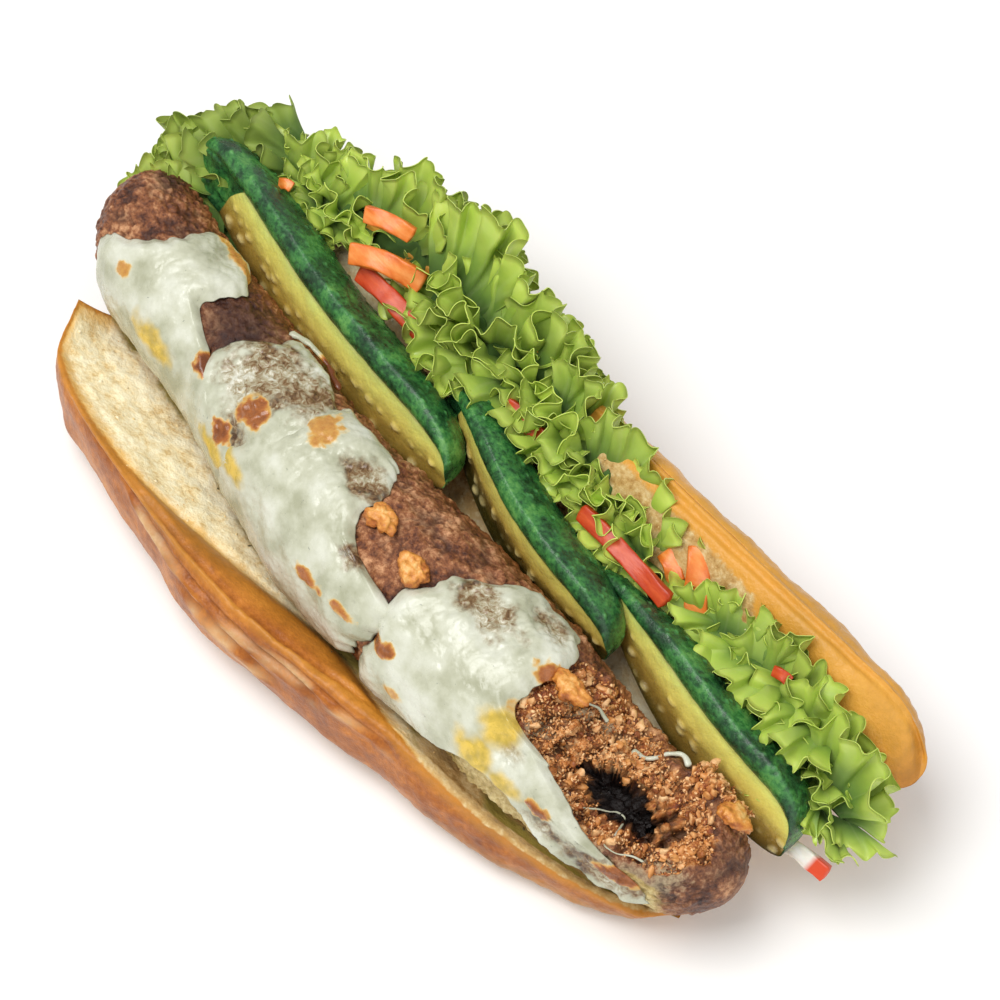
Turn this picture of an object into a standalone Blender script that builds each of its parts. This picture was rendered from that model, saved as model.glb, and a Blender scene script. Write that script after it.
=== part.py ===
"""A filled banh mi roll, lying open on its hinge.

The roll is split lengthwise and opened into a long trough. A log of minced meat lies along the front of
the trough under melted cheese. Behind it stand three pickled cucumber spears, strips of carrot and pepper,
and two bunches of curly leaf lettuce that lean on the back half of the roll.

+X runs along the roll, +Y from the front half to the back half, +Z up. The origin is the middle of the flat
spot under the hinge. Lengths are in millimetres here and are turned to metres where a mesh is made.
"""
import math

import bmesh
import bpy
from mathutils import Vector, noise

for old in list(bpy.data.objects):
    bpy.data.objects.remove(old, do_unlink=True)
SANDWICH = bpy.data.collections.new("banh_mi_sandwich")
bpy.context.scene.collection.children.link(SANDWICH)

MM = 0.001                      # metres in a millimetre

# The roll: rows are (x, ...), read by follow() with a smooth curve through them.
FRONT_RIM = ((-112, -28, 25), (-99, -43, 28), (-56, -51, 30), (-10, -51, 31), (34, -41, 27), (66, -34.5, 19),
             (92, -26, 14), (111, -15, 12))
FRONT_BULGE = 5.0               # how far the front crust swells past its rim
BACK_TOP = ((-102, 36, 30), (-84, 38, 37), (-60, 41, 42), (-10, 45, 47), (40, 46.5, 48), (72, 48, 48),
            (96, 49.5, 46), (112, 50.5, 41), (124, 49, 33))
BACK_BULGE = 7.0                # how far the back crust swells past its top
CUT_EDGE = 2.0                  # the crumb face starts this far inside and below the crust's top
HINGE_FRONT = -19.0             # the flat spot under the hinge, front edge
HINGE_BACK = 25.0               # and back edge
NEST_FLOOR = 9.2                # bread left under the meat
ROLL_ENDS = ((0.0, -112, 111), (0.35, -104, 103), (0.6, -102, 106), (0.8, -101, 118), (0.92, -99, 121.5),
             (1.0, -94, 117))
HEEL_START = 80.0               # from here to its end the back half was not cut through
HEEL_RISE = 9.0

# The meat: x, y and z of its middle line and its radius.
MEAT_LINE = ((-124, -1.5, 30, 15.5), (-100, -5.5, 28.5, 16.3), (-66, -8.8, 28, 16.4), (-34, -14, 30, 18.8),
             (-5, -15.8, 31.5, 20.6), (35, -14.6, 32, 21.2), (66, -14, 31, 20), (92, -11, 28.5, 17),
             (116, -6, 24.5, 12.5))
MEAT_ENDS = (-128, 118)
END_ROUNDING = 13.0
# how much of the radius is left along the tear
TEAR = ((58, 1.0), (66, 0.93), (74, 0.76), (81, 0.48), (87, 0.2), (93, 0.18), (99, 0.4), (107, 0.68),
        (121, 0.86))
TEAR_REACH = 62.0               # degrees from the top over which the tear fades

CHEESE_THICK = 2.2
CHEESE_CLEARANCE = 0.7

# Cucumber spears: start, middle and end of the core edge, radius, direction of the upper cut face and
# wedge angle.
SPEARS = (
    ("cucumber_spear_1", (-122, 18, 38), (-60, 6.4, 33), (-4, 6.8, 36), 19.0, 64, 72),
    ("cucumber_spear_2", (-21, 22, 38), (18, 7.8, 35), (57, 7.4, 36), 17.0, 74, 72),
    ("cucumber_spear_3", (38, 22.5, 36), (78, 8.6, 32), (118, 9.5, 27), 18.0, 62, 72),
)
SPEAR_BLUNT = 2.6               # how blunt the spears' ends are, and
SPEAR_SWELL = 0.52              # how full they are along their length
CORE_DROP = 0.4                 # how far the core edge hangs below the middle of the skin's arc, in radii


def blend(low, high, part):
    """The value part of the way from low to high."""
    return low + (high - low) * part


def ease(part):
    """0 to 1 with a soft start and a soft stop."""
    part = min(max(part, 0.0), 1.0)
    return part * part * (3 - 2 * part)


def follow(stations, x):
    """Read a table of (x, value, ...) rows at x, along a smooth curve."""
    last = len(stations) - 1
    if x <= stations[0][0]:
        return stations[0][1:]
    if x >= stations[last][0]:
        return stations[last][1:]
    at = next(i for i in range(last) if x < stations[i + 1][0])
    rows = [stations[min(max(i, 0), last)] for i in (at - 1, at, at + 1, at + 2)]
    span = rows[2][0] - rows[1][0]
    part = (x - rows[1][0]) / span
    values = []
    for k in range(1, len(rows[0])):
        before = (rows[2][k] - rows[0][k]) / max(rows[2][0] - rows[0][0], 1e-6) * span
        after = (rows[3][k] - rows[1][k]) / max(rows[3][0] - rows[1][0], 1e-6) * span
        values.append((2 * part**3 - 3 * part**2 + 1) * rows[1][k] + (part**3 - 2 * part**2 + part) * before
                      + (3 * part**2 - 2 * part**3) * rows[2][k] + (part**3 - part**2) * after)
    return tuple(values)


def lumps(x, y, z, size, seed=0.0):
    """Smooth unevenness from -1 to 1, with bumps about size across."""
    return noise.noise(Vector((x / size + seed, y / size - seed, z / size + 2 * seed)))


def material(name, colour, roughness):
    """A plain finish in the piece's own colour."""
    finish = bpy.data.materials.new(name)
    finish.use_nodes = True
    shader = finish.node_tree.nodes["Principled BSDF"]
    shader.inputs["Base Color"].default_value = (*colour, 1.0)
    shader.inputs["Roughness"].default_value = roughness
    shader.inputs["Metallic"].default_value = 0.0
    return finish


def add_piece(name, points, faces, finish):
    """Make one closed solid from points in millimetres."""
    mesh = bpy.data.meshes.new(name)
    mesh.from_pydata([Vector(p) * MM for p in points], [], faces)
    shape = bmesh.new()
    shape.from_mesh(mesh)
    bmesh.ops.recalc_face_normals(shape, faces=shape.faces)
    shape.to_mesh(mesh)
    shape.free()
    mesh.shade_smooth()
    mesh.set_sharp_from_angle(angle=math.radians(50))
    mesh.materials.append(finish)
    piece = bpy.data.objects.new(name, mesh)
    SANDWICH.objects.link(piece)
    return piece


def two_skins(name, upper, lower, columns, rows, finish):
    """A solid between two surfaces that meet all round their edge, such as a crust and its crumb."""
    points = []
    place = {}
    for skin, surface in enumerate((upper, lower)):
        for i in range(columns + 1):
            for j in range(rows + 1):
                edge = i in (0, columns) or j in (0, rows)
                if skin and edge:
                    place[skin, i, j] = place[0, i, j]
                    continue
                place[skin, i, j] = len(points)
                points.append(surface(i / columns, j / rows))
    faces = []
    for skin in (0, 1):
        for i in range(columns):
            for j in range(rows):
                corners = ((i, j), (i + 1, j), (i + 1, j + 1), (i, j + 1))
                quad = [place[skin, a, b] for a, b in corners]
                faces.append(quad if skin else quad[::-1])
    return add_piece(name, points, faces, finish)


def rings_solid(name, rings, finish):
    """A solid through closed rings of points, with a fan over each end."""
    count = len(rings[0])
    points = [point for ring in rings for point in ring]
    faces = []
    for r in range(len(rings) - 1):
        for i in range(count):
            j = (i + 1) % count
            faces.append((r * count + i, r * count + j, (r + 1) * count + j, (r + 1) * count + i))
    for r in (0, len(rings) - 1):
        middle = sum((Vector(p) for p in rings[r]), Vector()) / count
        tip = len(points)
        points.append(middle)
        for i in range(count):
            faces.append((r * count + i, r * count + (i + 1) % count, tip))
    return add_piece(name, points, faces, finish)


# ---- bread ----
def along_roll(u, across):
    """The x of a place u of the way along the roll, where its ends differ across it."""
    start, end = follow(ROLL_ENDS, across)
    swing = 0.5 - 0.5 * math.cos(math.pi * u)
    return blend(start, end, blend(u, swing, 0.75))


def crumb_height(x, y):
    """Height of the cut face of the bread at a place in plan."""
    rim_y, rim_z = follow(FRONT_RIM, x)
    top_y, top_z = follow(BACK_TOP, x)
    nest_y = follow(MEAT_LINE, x)[0]
    if y < nest_y:
        part = min((nest_y - y) / (nest_y - rim_y), 1.2)
        return NEST_FLOOR + (rim_z - NEST_FLOOR) * part**1.6
    part = (y - nest_y) / (top_y - CUT_EDGE - nest_y)
    heel = HEEL_RISE * ease((x - HEEL_START) / 30) * math.sin(math.pi * min(part, 1.0))
    return NEST_FLOOR + (top_z - CUT_EDGE - NEST_FLOOR) * min(part, 1.1)**1.9 + heel * part


def crumb_skin(u, v):
    """The crumb from the front rim (v = 0) through the nest to the back cut edge (v = 1)."""
    x = along_roll(u, v)
    rim_y = follow(FRONT_RIM, x)[0]
    edge_y = follow(BACK_TOP, x)[0] - CUT_EDGE
    y = blend(rim_y, edge_y, v)
    return Vector((x, y, crumb_height(x, y)))


def crust_section(x, v):
    """The full crust outside at x, from the front rim, under the hinge and up over the back."""
    rim_y, rim_z = follow(FRONT_RIM, x)
    top_y, top_z = follow(BACK_TOP, x)
    swell_y = rim_y - FRONT_BULGE * rim_z / 30
    swell_z = 0.42 * rim_z
    back_y = top_y + BACK_BULGE
    back_z = 0.5 * top_z
    quarter = math.pi / 2
    if v < 0.18:
        turn = quarter * v / 0.18
        return rim_y + (swell_y - rim_y) * math.sin(turn), swell_z + (rim_z - swell_z) * math.cos(turn)
    if v < 0.4:
        turn = quarter * (v - 0.18) / 0.22
        return HINGE_FRONT + (swell_y - HINGE_FRONT) * math.cos(turn), swell_z * (1 - math.sin(turn))
    if v < 0.56:
        return blend(HINGE_FRONT, HINGE_BACK, (v - 0.4) / 0.16), 0.0
    if v < 0.75:
        turn = quarter * (v - 0.56) / 0.19
        return HINGE_BACK + (back_y - HINGE_BACK) * math.sin(turn), back_z * (1 - math.cos(turn))
    turn = (quarter + 0.5) * (v - 0.75) / 0.25
    return top_y + BACK_BULGE * math.cos(turn), back_z + (top_z - back_z) * math.sin(turn)


def crust_skin(u, v):
    """The crust, drawn in to the crumb at the roll's two ends so that they close round."""
    x = along_roll(u, v)
    y, z = crust_section(x, v)
    full = (1 - abs(2 * u - 1)**5)**0.4 if 0 < u < 1 else 0.0
    crumb = crumb_skin(u, v)
    closing = Vector((x, y, z)).lerp(crumb, 1 - full)
    if v in (0.0, 1.0):
        return crumb
    return closing


def build_bread():
    """Roll: one piece of bread, split lengthwise and still joined along the hinge."""
    crust = material("baked_bread", (0.72, 0.33, 0.09), 0.55)
    two_skins("bread_roll", crust_skin, crumb_skin, 34, 24, crust)


# ---- meat ----
def meat_radius(x, angle):
    """Distance of the meat's surface from its middle line; angle in degrees from the top, front positive."""
    radius = follow(MEAT_LINE, x)[2]
    for end in MEAT_ENDS:
        inside = abs(x - end)
        if inside < END_ROUNDING:
            radius *= math.sqrt(max(1 - (1 - inside / END_ROUNDING)**2, 0.02))
    reach = abs(angle - 2) / TEAR_REACH
    tear = 1 - ease(1.55 - reach) * (1 - follow(TEAR, x)[0]) if reach < 1.6 else 1.0
    bend = math.radians(angle)
    uneven = lumps(x, 20 * math.sin(bend), 20 * math.cos(bend), 22, 3.1)
    return radius * tear * (1 + 0.045 * uneven)


def meat_point(x, angle, lift=0.0):
    """A point on the meat, or lifted off it."""
    y, z, _ = follow(MEAT_LINE, x)
    reach = meat_radius(x, angle) + lift
    bend = math.radians(angle)
    return Vector((x, y - reach * math.sin(bend), z + reach * math.cos(bend)))


def build_meat():
    """Meat: one long log of minced meat, whole at one end and torn open near the other."""
    browned = material("browned_minced_meat", (0.16, 0.06, 0.03), 0.6)
    steps = 42
    sides = 20
    rings = []
    for i in range(steps + 1):
        u = i / steps
        x = blend(MEAT_ENDS[0], MEAT_ENDS[1], blend(u, 0.5 - 0.5 * math.cos(math.pi * u), 0.5))
        rings.append([meat_point(x, 360 * k / sides) for k in range(sides)])
    rings_solid("minced_meat_log", rings, browned)


# ---- cheese ----
def cheese_sheet(name, outline, columns, rows, finish):
    """A melted slice over the meat, thinning to nothing at its edge.

    outline(u, v) gives the x and the angle round the meat of a place on the slice.
    """
    def lower(u, v):
        x, angle = outline(u, v)
        return meat_point(x, angle, CHEESE_CLEARANCE)

    def upper(u, v):
        x, angle = outline(u, v)
        round_edge = (1 - abs(2 * u - 1)**6) * (1 - abs(2 * v - 1)**8)
        thick = CHEESE_THICK * math.sqrt(max(round_edge, 0.0))
        return meat_point(x, angle, CHEESE_CLEARANCE + thick)

    return two_skins(name, upper, lower, columns, rows, finish)


def build_cheese():
    """Cheese: four melted slices that lie over the meat one behind the other."""
    melted = material("melted_white_cheese", (0.72, 0.76, 0.64), 0.35)
    # name, x range on the back edge, x range on the front edge, back angle at start and end, front angle
    slices = (
        ("cheese_slice_1", (-101, -86), (-113, -71), (-46, -34), (96, 108)),
        ("cheese_slice_2", (-74, -47), (-69.5, -44), (-42, -46), (110, 110)),
        ("cheese_slice_3", (-45.5, -18), (-42.5, 11), (-44, -2), (110, 110)),
        ("cheese_slice_4", (24, 60), (13, 110), (-50, 24), (110, 100)),
    )
    for name, on_back, on_front, back_angle, front_angle in slices:
        def outline(u, v):
            start = blend(on_back[0], on_front[0], ease(v))
            end = blend(on_back[1], on_front[1], v * v)
            wave = 1.2 * math.sin(9 * v + 4 * u + len(name) * on_back[0])
            x = blend(start, end, u) + wave * (u * (1 - u)) * 2
            turn = ease((u - 0.45) / 0.5)
            low = blend(back_angle[0], back_angle[1], turn)
            high = blend(front_angle[0], front_angle[1], u)
            return x, blend(low, high, v)

        long_side = max(on_front[1] - on_front[0], on_back[1] - on_back[0])
        cheese_sheet(name, outline, max(7, round(long_side / 6)), 11, melted)


def build_toasted_lumps():
    """Toasted lumps: crisp blistered bits of cheese that stand up from the slices."""
    toasted = material("toasted_cheese_crust", (0.62, 0.2, 0.05), 0.45)
    # x, angle round the meat, half length, half width, height over the cheese
    places = ((2.5, 4, 5.0, 3.6, 0.7), (18, 13, 5.0, 3.8, 0.7), (63.5, -12, 5.6, 3.4, 0.7),
              (108, -36, 4.6, 3.6, 2.9))
    for number, (x, angle, half_long, half_wide, lift) in enumerate(places, 1):
        base = meat_point(x, angle, CHEESE_CLEARANCE + CHEESE_THICK + lift)
        away = (meat_point(x, angle, 10) - meat_point(x, angle)).normalized()
        side = away.cross(Vector((1, 0, 0))).normalized()
        along = side.cross(away)
        rings = []
        for rise, width in ((0.0, 0.8), (0.9, 1.0), (2.0, 0.86), (2.8, 0.45)):
            ring = []
            for k in range(12):
                turn = 2 * math.pi * k / 12
                reach = width * (1 + 0.14 * math.sin(3 * turn + number))
                ring.append(base + away * rise + along * (half_long * reach * math.cos(turn))
                            + side * (half_wide * reach * math.sin(turn)))
            rings.append(ring)
        rings_solid(f"toasted_lump_{number}", rings, toasted)


# ---- cucumber ----
def spear_core(spear, part):
    """The core edge of a spear part of the way along it, and its radius there."""
    _, start, middle, end, radius, _, _ = spear
    start, middle, end = Vector(start), Vector(middle), Vector(end)
    bend = middle * 2 - (start + end) / 2
    core = start.lerp(bend, part).lerp(bend.lerp(end, part), part)
    return core, radius * max(1 - abs(2 * part - 1)**SPEAR_BLUNT, 0.02)**SPEAR_SWELL


def build_spears():
    """Spears: lengthwise wedges of pickled cucumber with two cut faces and a skin."""
    pickled = material("pickled_cucumber", (0.1, 0.24, 0.07), 0.3)
    steps = 18
    for spear in SPEARS:
        name, face_angle, wedge = spear[0], spear[5], spear[6]
        rings = []
        for i in range(steps + 1):
            core, size = spear_core(spear, 0.5 - 0.5 * math.cos(math.pi * i / steps))
            ring = [core - Vector((0, 0, CORE_DROP * size))]
            for k in range(9):
                angle = math.radians(face_angle - wedge * k / 8)
                ring.append(core + Vector((0, math.cos(angle), math.sin(angle))) * size)
            inside = sum(ring, Vector()) / len(ring)
            # the core edge is a little blunt
            ring[0] = ring[0].lerp(inside, 0.06)
            rings.append(ring)
        rings_solid(name, rings, pickled)


# ---- strips ----
def strip(name, route, width, thick, finish):
    """A flat cut strip along a route of points, with the wide side facing up and forward."""
    path = [Vector(point) for point in route]
    rings = []
    for i, point in enumerate(path):
        ahead = path[min(i + 1, len(path) - 1)] - path[max(i - 1, 0)]
        facing = Vector((0.3, -0.5, 0.81))
        side = ahead.cross(facing).normalized() * (width / 2)
        out = side.cross(ahead).normalized() * (thick / 2)
        if out.z < 0:
            out = -out
        rings.append([point - side - out, point + side - out, point + side + out, point - side + out])
    rings_solid(name, rings, finish)


def bow(start, end, rise, count=6):
    """Points from start to end along a shallow arch."""
    points = []
    for i in range(count + 1):
        part = i / count
        point = Vector(start).lerp(Vector(end), part)
        point.z += rise * math.sin(math.pi * part)
        points.append(point)
    return points


def build_strips():
    """Strips: cut carrot, red pepper and radish tucked between the spears and the lettuce."""
    carrot = material("cut_carrot", (0.8, 0.27, 0.04), 0.4)
    pepper = material("cut_red_pepper", (0.66, 0.09, 0.03), 0.35)
    radish = material("cut_white_radish", (0.8, 0.76, 0.66), 0.4)
    strip("carrot_strip_1", bow((-65, 25.5, 50), (-46, 34, 50), 2.2), 5.6, 2.6, carrot)
    strip("carrot_strip_2", bow((-68, 33, 57), (-55, 38, 57), 1.0), 4.5, 2.4, carrot)
    strip("carrot_strip_3", bow((52, 40.5, 45.6), (60, 32.2, 38), 1.2), 6.0, 2.6, carrot)
    strip("carrot_strip_4", bow((46, 35, 40.5), (53, 32.6, 38.6), 0.6), 4.6, 2.4, carrot)
    strip("pepper_strip_1", bow((-62, 26, 45), (-34, 27, 43.2), 1.5), 5.0, 2.6, pepper)
    strip("pepper_strip_2", bow((25, 25.8, 44.5), (42, 27.6, 44), 0.5), 5.0, 2.6, pepper)
    strip("pepper_strip_3", bow((-8, 29, 46.5), (6, 30.4, 45), 0.8), 4.6, 2.4, pepper)
    strip("radish_strip_1", bow((107, 12, 21.5), (127, 16, 21.5), 0.6), 4.2, 2.6, radish)


# ---- lettuce ----
def bed_height(x, y):
    """Height of the bread or the cucumber that lies under a place."""
    top_y, top_z = follow(BACK_TOP, x)
    height = crumb_height(x, y) if y < top_y - CUT_EDGE else top_z
    for spear in SPEARS:
        first_x = spear[1][0]
        last_x = spear[3][0]
        if first_x - 2 < x < last_x + 2:
            core, size = spear_core(spear, min(max((x - first_x) / (last_x - first_x), 0.03), 0.97))
            arc = math.sqrt(max((size + 1.5)**2 - (y - core.y)**2, 0.0))
            height = max(height, core.z + arc if arc else 0.0)
    return height


def lettuce_bunch(name, outline, hang, top, seed, finish):
    """A bunch of leaves, out to its uneven outline, leaning on the back half of the roll.

    outline rows give x and the front and back edge of the bunch; hang is the lowest its leaves reach.
    """
    first = outline[0][0]
    last = outline[-1][0]
    columns = max(5, round((last - first) / 7))

    def spot(u, v):
        x = blend(first, last, u)
        front, back = follow(outline, x)
        full = max(math.sqrt(1 - abs(2 * u - 1)**4), 0.3)
        y = blend(front, back, 0.5 + (v - 0.5) * full)
        return x, y + 2.5 * lumps(x, y, top, 14, seed)

    def under(u, v):
        x, y = spot(u, v)
        return Vector((x, y, max(bed_height(x, y) + 2.0, hang)))

    def crown(u, v):
        x, y = spot(u, v)
        low = max(bed_height(x, y) + 2.0, hang)
        dome = ((1 - abs(2 * u - 1)**6) * (1 - abs(2 * v - 1)**4))**0.5
        rise = (top - low + 5.0 * lumps(x, y, top, 11, seed + 4)) * dome
        return Vector((x, y, low + max(rise, 4.0 * dome)))

    two_skins(name, crown, under, columns, 8, finish)


def build_lettuce():
    """Lettuce: a long bunch past the far end of the roll and a short one by the torn end of the meat."""
    leaf = material("curly_leaf_lettuce", (0.33, 0.56, 0.06), 0.5)
    far_bunch = ((-137, 2, 24), (-129, 2, 33), (-120, 27, 38), (-105, 30, 43), (-84, 28.5, 53), (-70, 36, 54),
                 (-60, 42, 55), (-48, 38, 54), (-36, 31, 52), (-12, 33, 49), (8, 32, 46), (24, 28.5, 42),
                 (44, 32, 38))
    near_bunch = ((64, 31, 38), (80, 26, 42), (108, 23, 42), (119, 14, 37), (132, 10, 28))
    lettuce_bunch("lettuce_bunch_1", far_bunch, 30, 60, 5.3, leaf)
    lettuce_bunch("lettuce_bunch_2", near_bunch, 27.5, 51, 8.9, leaf)


build_bread()
build_meat()
build_cheese()
build_toasted_lumps()
build_spears()
build_strips()
build_lettuce()
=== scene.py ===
"""The looks of a filled banh mi roll that lies open on its hinge.

From the front to the back: the front half of a crusty roll, a log of minced meat under melted cheese, pickled
cucumber spears, cut carrot and pepper, curly leaf lettuce, and the back half of the roll. +X runs along the
roll, +Y from its front half to its back half and +Z up. Lengths are in millimetres until a mesh is made.
"""
import math

import bpy
import numpy as np
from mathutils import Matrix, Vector, noise


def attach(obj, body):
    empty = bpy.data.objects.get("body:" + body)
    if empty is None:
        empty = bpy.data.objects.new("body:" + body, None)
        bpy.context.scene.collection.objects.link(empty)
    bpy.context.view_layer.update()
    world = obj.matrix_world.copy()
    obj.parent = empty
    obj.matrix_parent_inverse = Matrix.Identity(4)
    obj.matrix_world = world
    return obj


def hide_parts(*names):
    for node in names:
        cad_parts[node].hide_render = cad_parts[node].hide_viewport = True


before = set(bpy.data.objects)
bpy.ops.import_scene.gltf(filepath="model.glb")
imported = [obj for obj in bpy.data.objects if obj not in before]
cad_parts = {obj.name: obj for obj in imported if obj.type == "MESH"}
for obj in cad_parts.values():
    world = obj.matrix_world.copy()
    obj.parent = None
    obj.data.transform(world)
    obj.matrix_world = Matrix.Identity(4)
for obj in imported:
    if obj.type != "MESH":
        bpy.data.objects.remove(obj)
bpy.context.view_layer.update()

# ---- the bread ----
# A long wheat roll, split lengthwise and folded open on a hinge of its own crust. Its crust is baked thin and
# satin, its cut face is a cream crumb full of small pores, which is damp and stained where the filling lies.
MM = 0.001
# the cut rim in front and behind: x, y, z, and how far the crust swells out past it
FRONT_RIM = ((-112, -28, 25), (-99, -43, 28), (-56, -51, 30), (-10, -51, 31), (34, -41, 27), (66, -34.5, 19),
             (92, -26, 14), (111, -15, 12))
FRONT_BULGE = 5.0
BACK_TOP = ((-102, 36, 30), (-84, 38, 37), (-60, 41, 42), (-10, 45, 47), (40, 46.5, 48), (72, 48, 48),
            (96, 50, 46), (112, 52.5, 41), (126, 51.5, 33))
BACK_BULGE = 7.0
CUT_EDGE = 2.0                  # how far the crumb's rim lies inside the back one
HINGE_FRONT = -19.0             # the flat spot under the hinge reaches from this y to this one
HINGE_BACK = 25.0
NEST_FLOOR = 9.2                # height of the crumb under the meat
# where the roll ends: how far across it, then the x of either end
ROLL_ENDS = ((0.0, -112, 111), (0.35, -104, 103), (0.6, -102, 106), (0.8, -101, 120.5), (0.92, -99, 125),
             (1.0, -94, 121))
HEEL_START = 80.0               # from here to its end the back half was not cut through
HEEL_RISE = 9.0
HEEL_SKIN = 154.0               # the heel's crust closes over the inside past this x, less twice the y
# how far the crust rolls in over the front rim, or the crumb out over it: x, distance
ROLLED_EDGE = ((-112, 0.5), (-70, 1.5), (-55, 3), (-35, 6.5), (-5, 10), (10, 9), (22, 5), (34, 0), (45, -4.5),
               (60, -6), (82, -6), (100, -4), (111, -1))
# how far the crust reaches in over the back cut edge
BACK_LIP = ((-102, 1.5), (0, 3), (60, 4.5), (80, 7), (100, 14), (124, 30))
# creases along the front of the crust: how far round it, depth, and the x where each starts and ends
CREASES = ((0.0, 2.1, -62, 22), (0.05, 1.6, -34, 12), (-0.03, 1.0, -5, 46))
CRUMB_SPAN = 90.0               # from cut edge to cut edge over the crumb, and round the crust
CRUST_SPAN = 150.0
RIM_RISE = 3.2                  # how much the back rim stands up towards the heel
# the middle of the log of meat: x, y, z, radius
MEAT_LINE = ((-124, -1.5, 30, 15.5), (-100, -5.5, 28.5, 16.3), (-66, -8.8, 28, 16.4), (-34, -14, 30, 18.8),
             (-5, -15.8, 31.5, 20.6), (35, -14.6, 32, 21.2), (66, -14, 31, 20), (92, -11, 28.5, 17),
             (116, -6, 24.5, 12.5))


def blend(low, high, part):
    """The value part of the way from low to high."""
    return low + (high - low) * part


def ease(part):
    """0 to 1 with a soft start and a soft stop."""
    part = np.clip(part, 0.0, 1.0)
    return part * part * (3 - 2 * part)


def follow(rows, x):
    """The columns of a table of (x, value, ...) rows, read at x along a smooth curve."""
    table = np.array(rows, float)
    x = np.clip(np.asarray(x, float), table[0, 0], table[-1, 0])
    at = np.clip(np.searchsorted(table[:, 0], x, side="right") - 1, 0, len(table) - 2)
    ahead = np.minimum(np.arange(len(table)) + 1, len(table) - 1)
    behind = np.maximum(np.arange(len(table)) - 1, 0)
    slope = (table[ahead] - table[behind]) / (table[ahead, :1] - table[behind, :1])
    span = table[at + 1, 0] - table[at, 0]
    part = (x - table[at, 0]) / span
    columns = []
    for k in range(1, table.shape[1]):
        columns.append((2 * part**3 - 3 * part**2 + 1) * table[at, k]
                       + (part**3 - 2 * part**2 + part) * slope[at, k] * span
                       + (3 * part**2 - 2 * part**3) * table[at + 1, k]
                       + (part**3 - part**2) * slope[at + 1, k] * span)
    return columns


def bumps(points, size, seed=0.0):
    """Smooth unevenness from -1 to 1 at the points, with bumps about size across."""
    flat = np.asarray(points, float).reshape(-1, 3) / size + (seed, -seed, 2 * seed)
    return np.array([noise.noise(p) for p in flat.tolist()]).reshape(np.shape(points)[:-1])


def uneven(points, *layers):
    """Bumps of several sizes laid over each other, each given as its height, size and seed."""
    return sum(height * bumps(points, size, seed) for height, size, seed in layers)


def drift(points, size, *seeds):
    """An uneven shift of the points, with one seed for each axis."""
    return np.stack([bumps(points, size, seed) for seed in seeds], -1)


def grains(points, size, seed=0.0):
    """How far the points are from the middle of their nearest grain, 0 to about 1, and from the next one."""
    flat = np.asarray(points, float).reshape(-1, 3) / size + (seed, -seed, 2 * seed)
    found = np.array([noise.voronoi(p)[0][:2] for p in flat.tolist()])
    return found[:, 0].reshape(np.shape(points)[:-1]), found[:, 1].reshape(np.shape(points)[:-1])


def bell(away):
    """1 in the middle and falling off smoothly on both sides."""
    return np.exp(-away**2)


def facing(grid):
    """The direction each point of a grid faces."""
    across = np.cross(np.gradient(grid, axis=0), np.gradient(grid, axis=1))
    return across / np.maximum(np.linalg.norm(across, axis=-1, keepdims=True), 1e-9)


def lattice(rows, columns, around=False):
    """The quads of a grid of points; around joins the end of each row to its start."""
    i, j = np.meshgrid(np.arange(rows - 1), np.arange(columns if around else columns - 1), indexing="ij")
    k = (j + 1) % columns
    quads = np.stack([i * columns + j, (i + 1) * columns + j, (i + 1) * columns + k, i * columns + k], -1)
    return quads.reshape(-1, 4)


def make_piece(name, points, quads, finish, marks, corners=()):
    """A closed piece from points in millimetres, with quads and three-sided corners.

    marks are numbers kept on its points for its finish to read.
    """
    points = np.asarray(points, float).reshape(-1, 3) * MM
    a, b, c, d = (points[quads[:, k]] for k in range(4))
    if np.sum(a * np.cross(b, c)) + np.sum(a * np.cross(c, d)) < 0:
        quads = quads[:, ::-1]
        corners = [corner[::-1] for corner in corners]
    mesh = bpy.data.meshes.new(name)
    mesh.from_pydata(points.tolist(), [], quads.tolist() + list(corners))
    for mark, values in marks.items():
        kept = mesh.attributes.new(mark, "FLOAT", "POINT")
        kept.data.foreach_set("value", np.asarray(values, np.float32).ravel())
    mesh.materials.append(finish)
    mesh.shade_smooth()
    piece = bpy.data.objects.new(name, mesh)
    bpy.context.scene.collection.objects.link(piece)
    return piece


def close_skins(name, upper, lower, finish, marks):
    """A closed piece between two grids of points with one rim; each mark holds a grid for either skin."""
    rows, columns = upper.shape[:2]
    inside = np.zeros((rows, columns), bool)
    inside[1:-1, 1:-1] = True
    place = np.arange(rows * columns).reshape(rows, columns)
    place[inside] = rows * columns + np.arange(inside.sum())
    quads = lattice(rows, columns)
    points = np.concatenate([upper.reshape(-1, 3), lower[inside]])
    faces = np.concatenate([quads, place.ravel()[quads][:, ::-1]])
    kept = {mark: np.concatenate([np.ravel(over), under[inside]]) for mark, (over, under) in marks.items()}
    return make_piece(name, points, faces, finish, kept)


def close_rings(name, rings, finish, marks):
    """A closed piece through rings of points, with a fan over either end."""
    rows, sides = rings.shape[:2]
    points = np.concatenate([rings.reshape(-1, 3), [rings[0].mean(axis=0), rings[-1].mean(axis=0)]])
    corners = []
    last = (rows - 1) * sides
    for k in range(sides):
        after = (k + 1) % sides
        corners += [(rows * sides, k, after), (rows * sides + 1, last + after, last + k)]
    kept = {mark: np.append(np.ravel(values), (values[0].mean(), values[-1].mean()))
            for mark, values in marks.items()}
    return make_piece(name, points, lattice(rows, sides, around=True), finish, kept, corners)


def along_roll(u, across):
    """The x of a place u of the way along the roll, where its ends differ across it."""
    start, end = follow(ROLL_ENDS, across)
    return blend(start, end, blend(u, 0.5 - 0.5 * np.cos(np.pi * u), 0.75))


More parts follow.
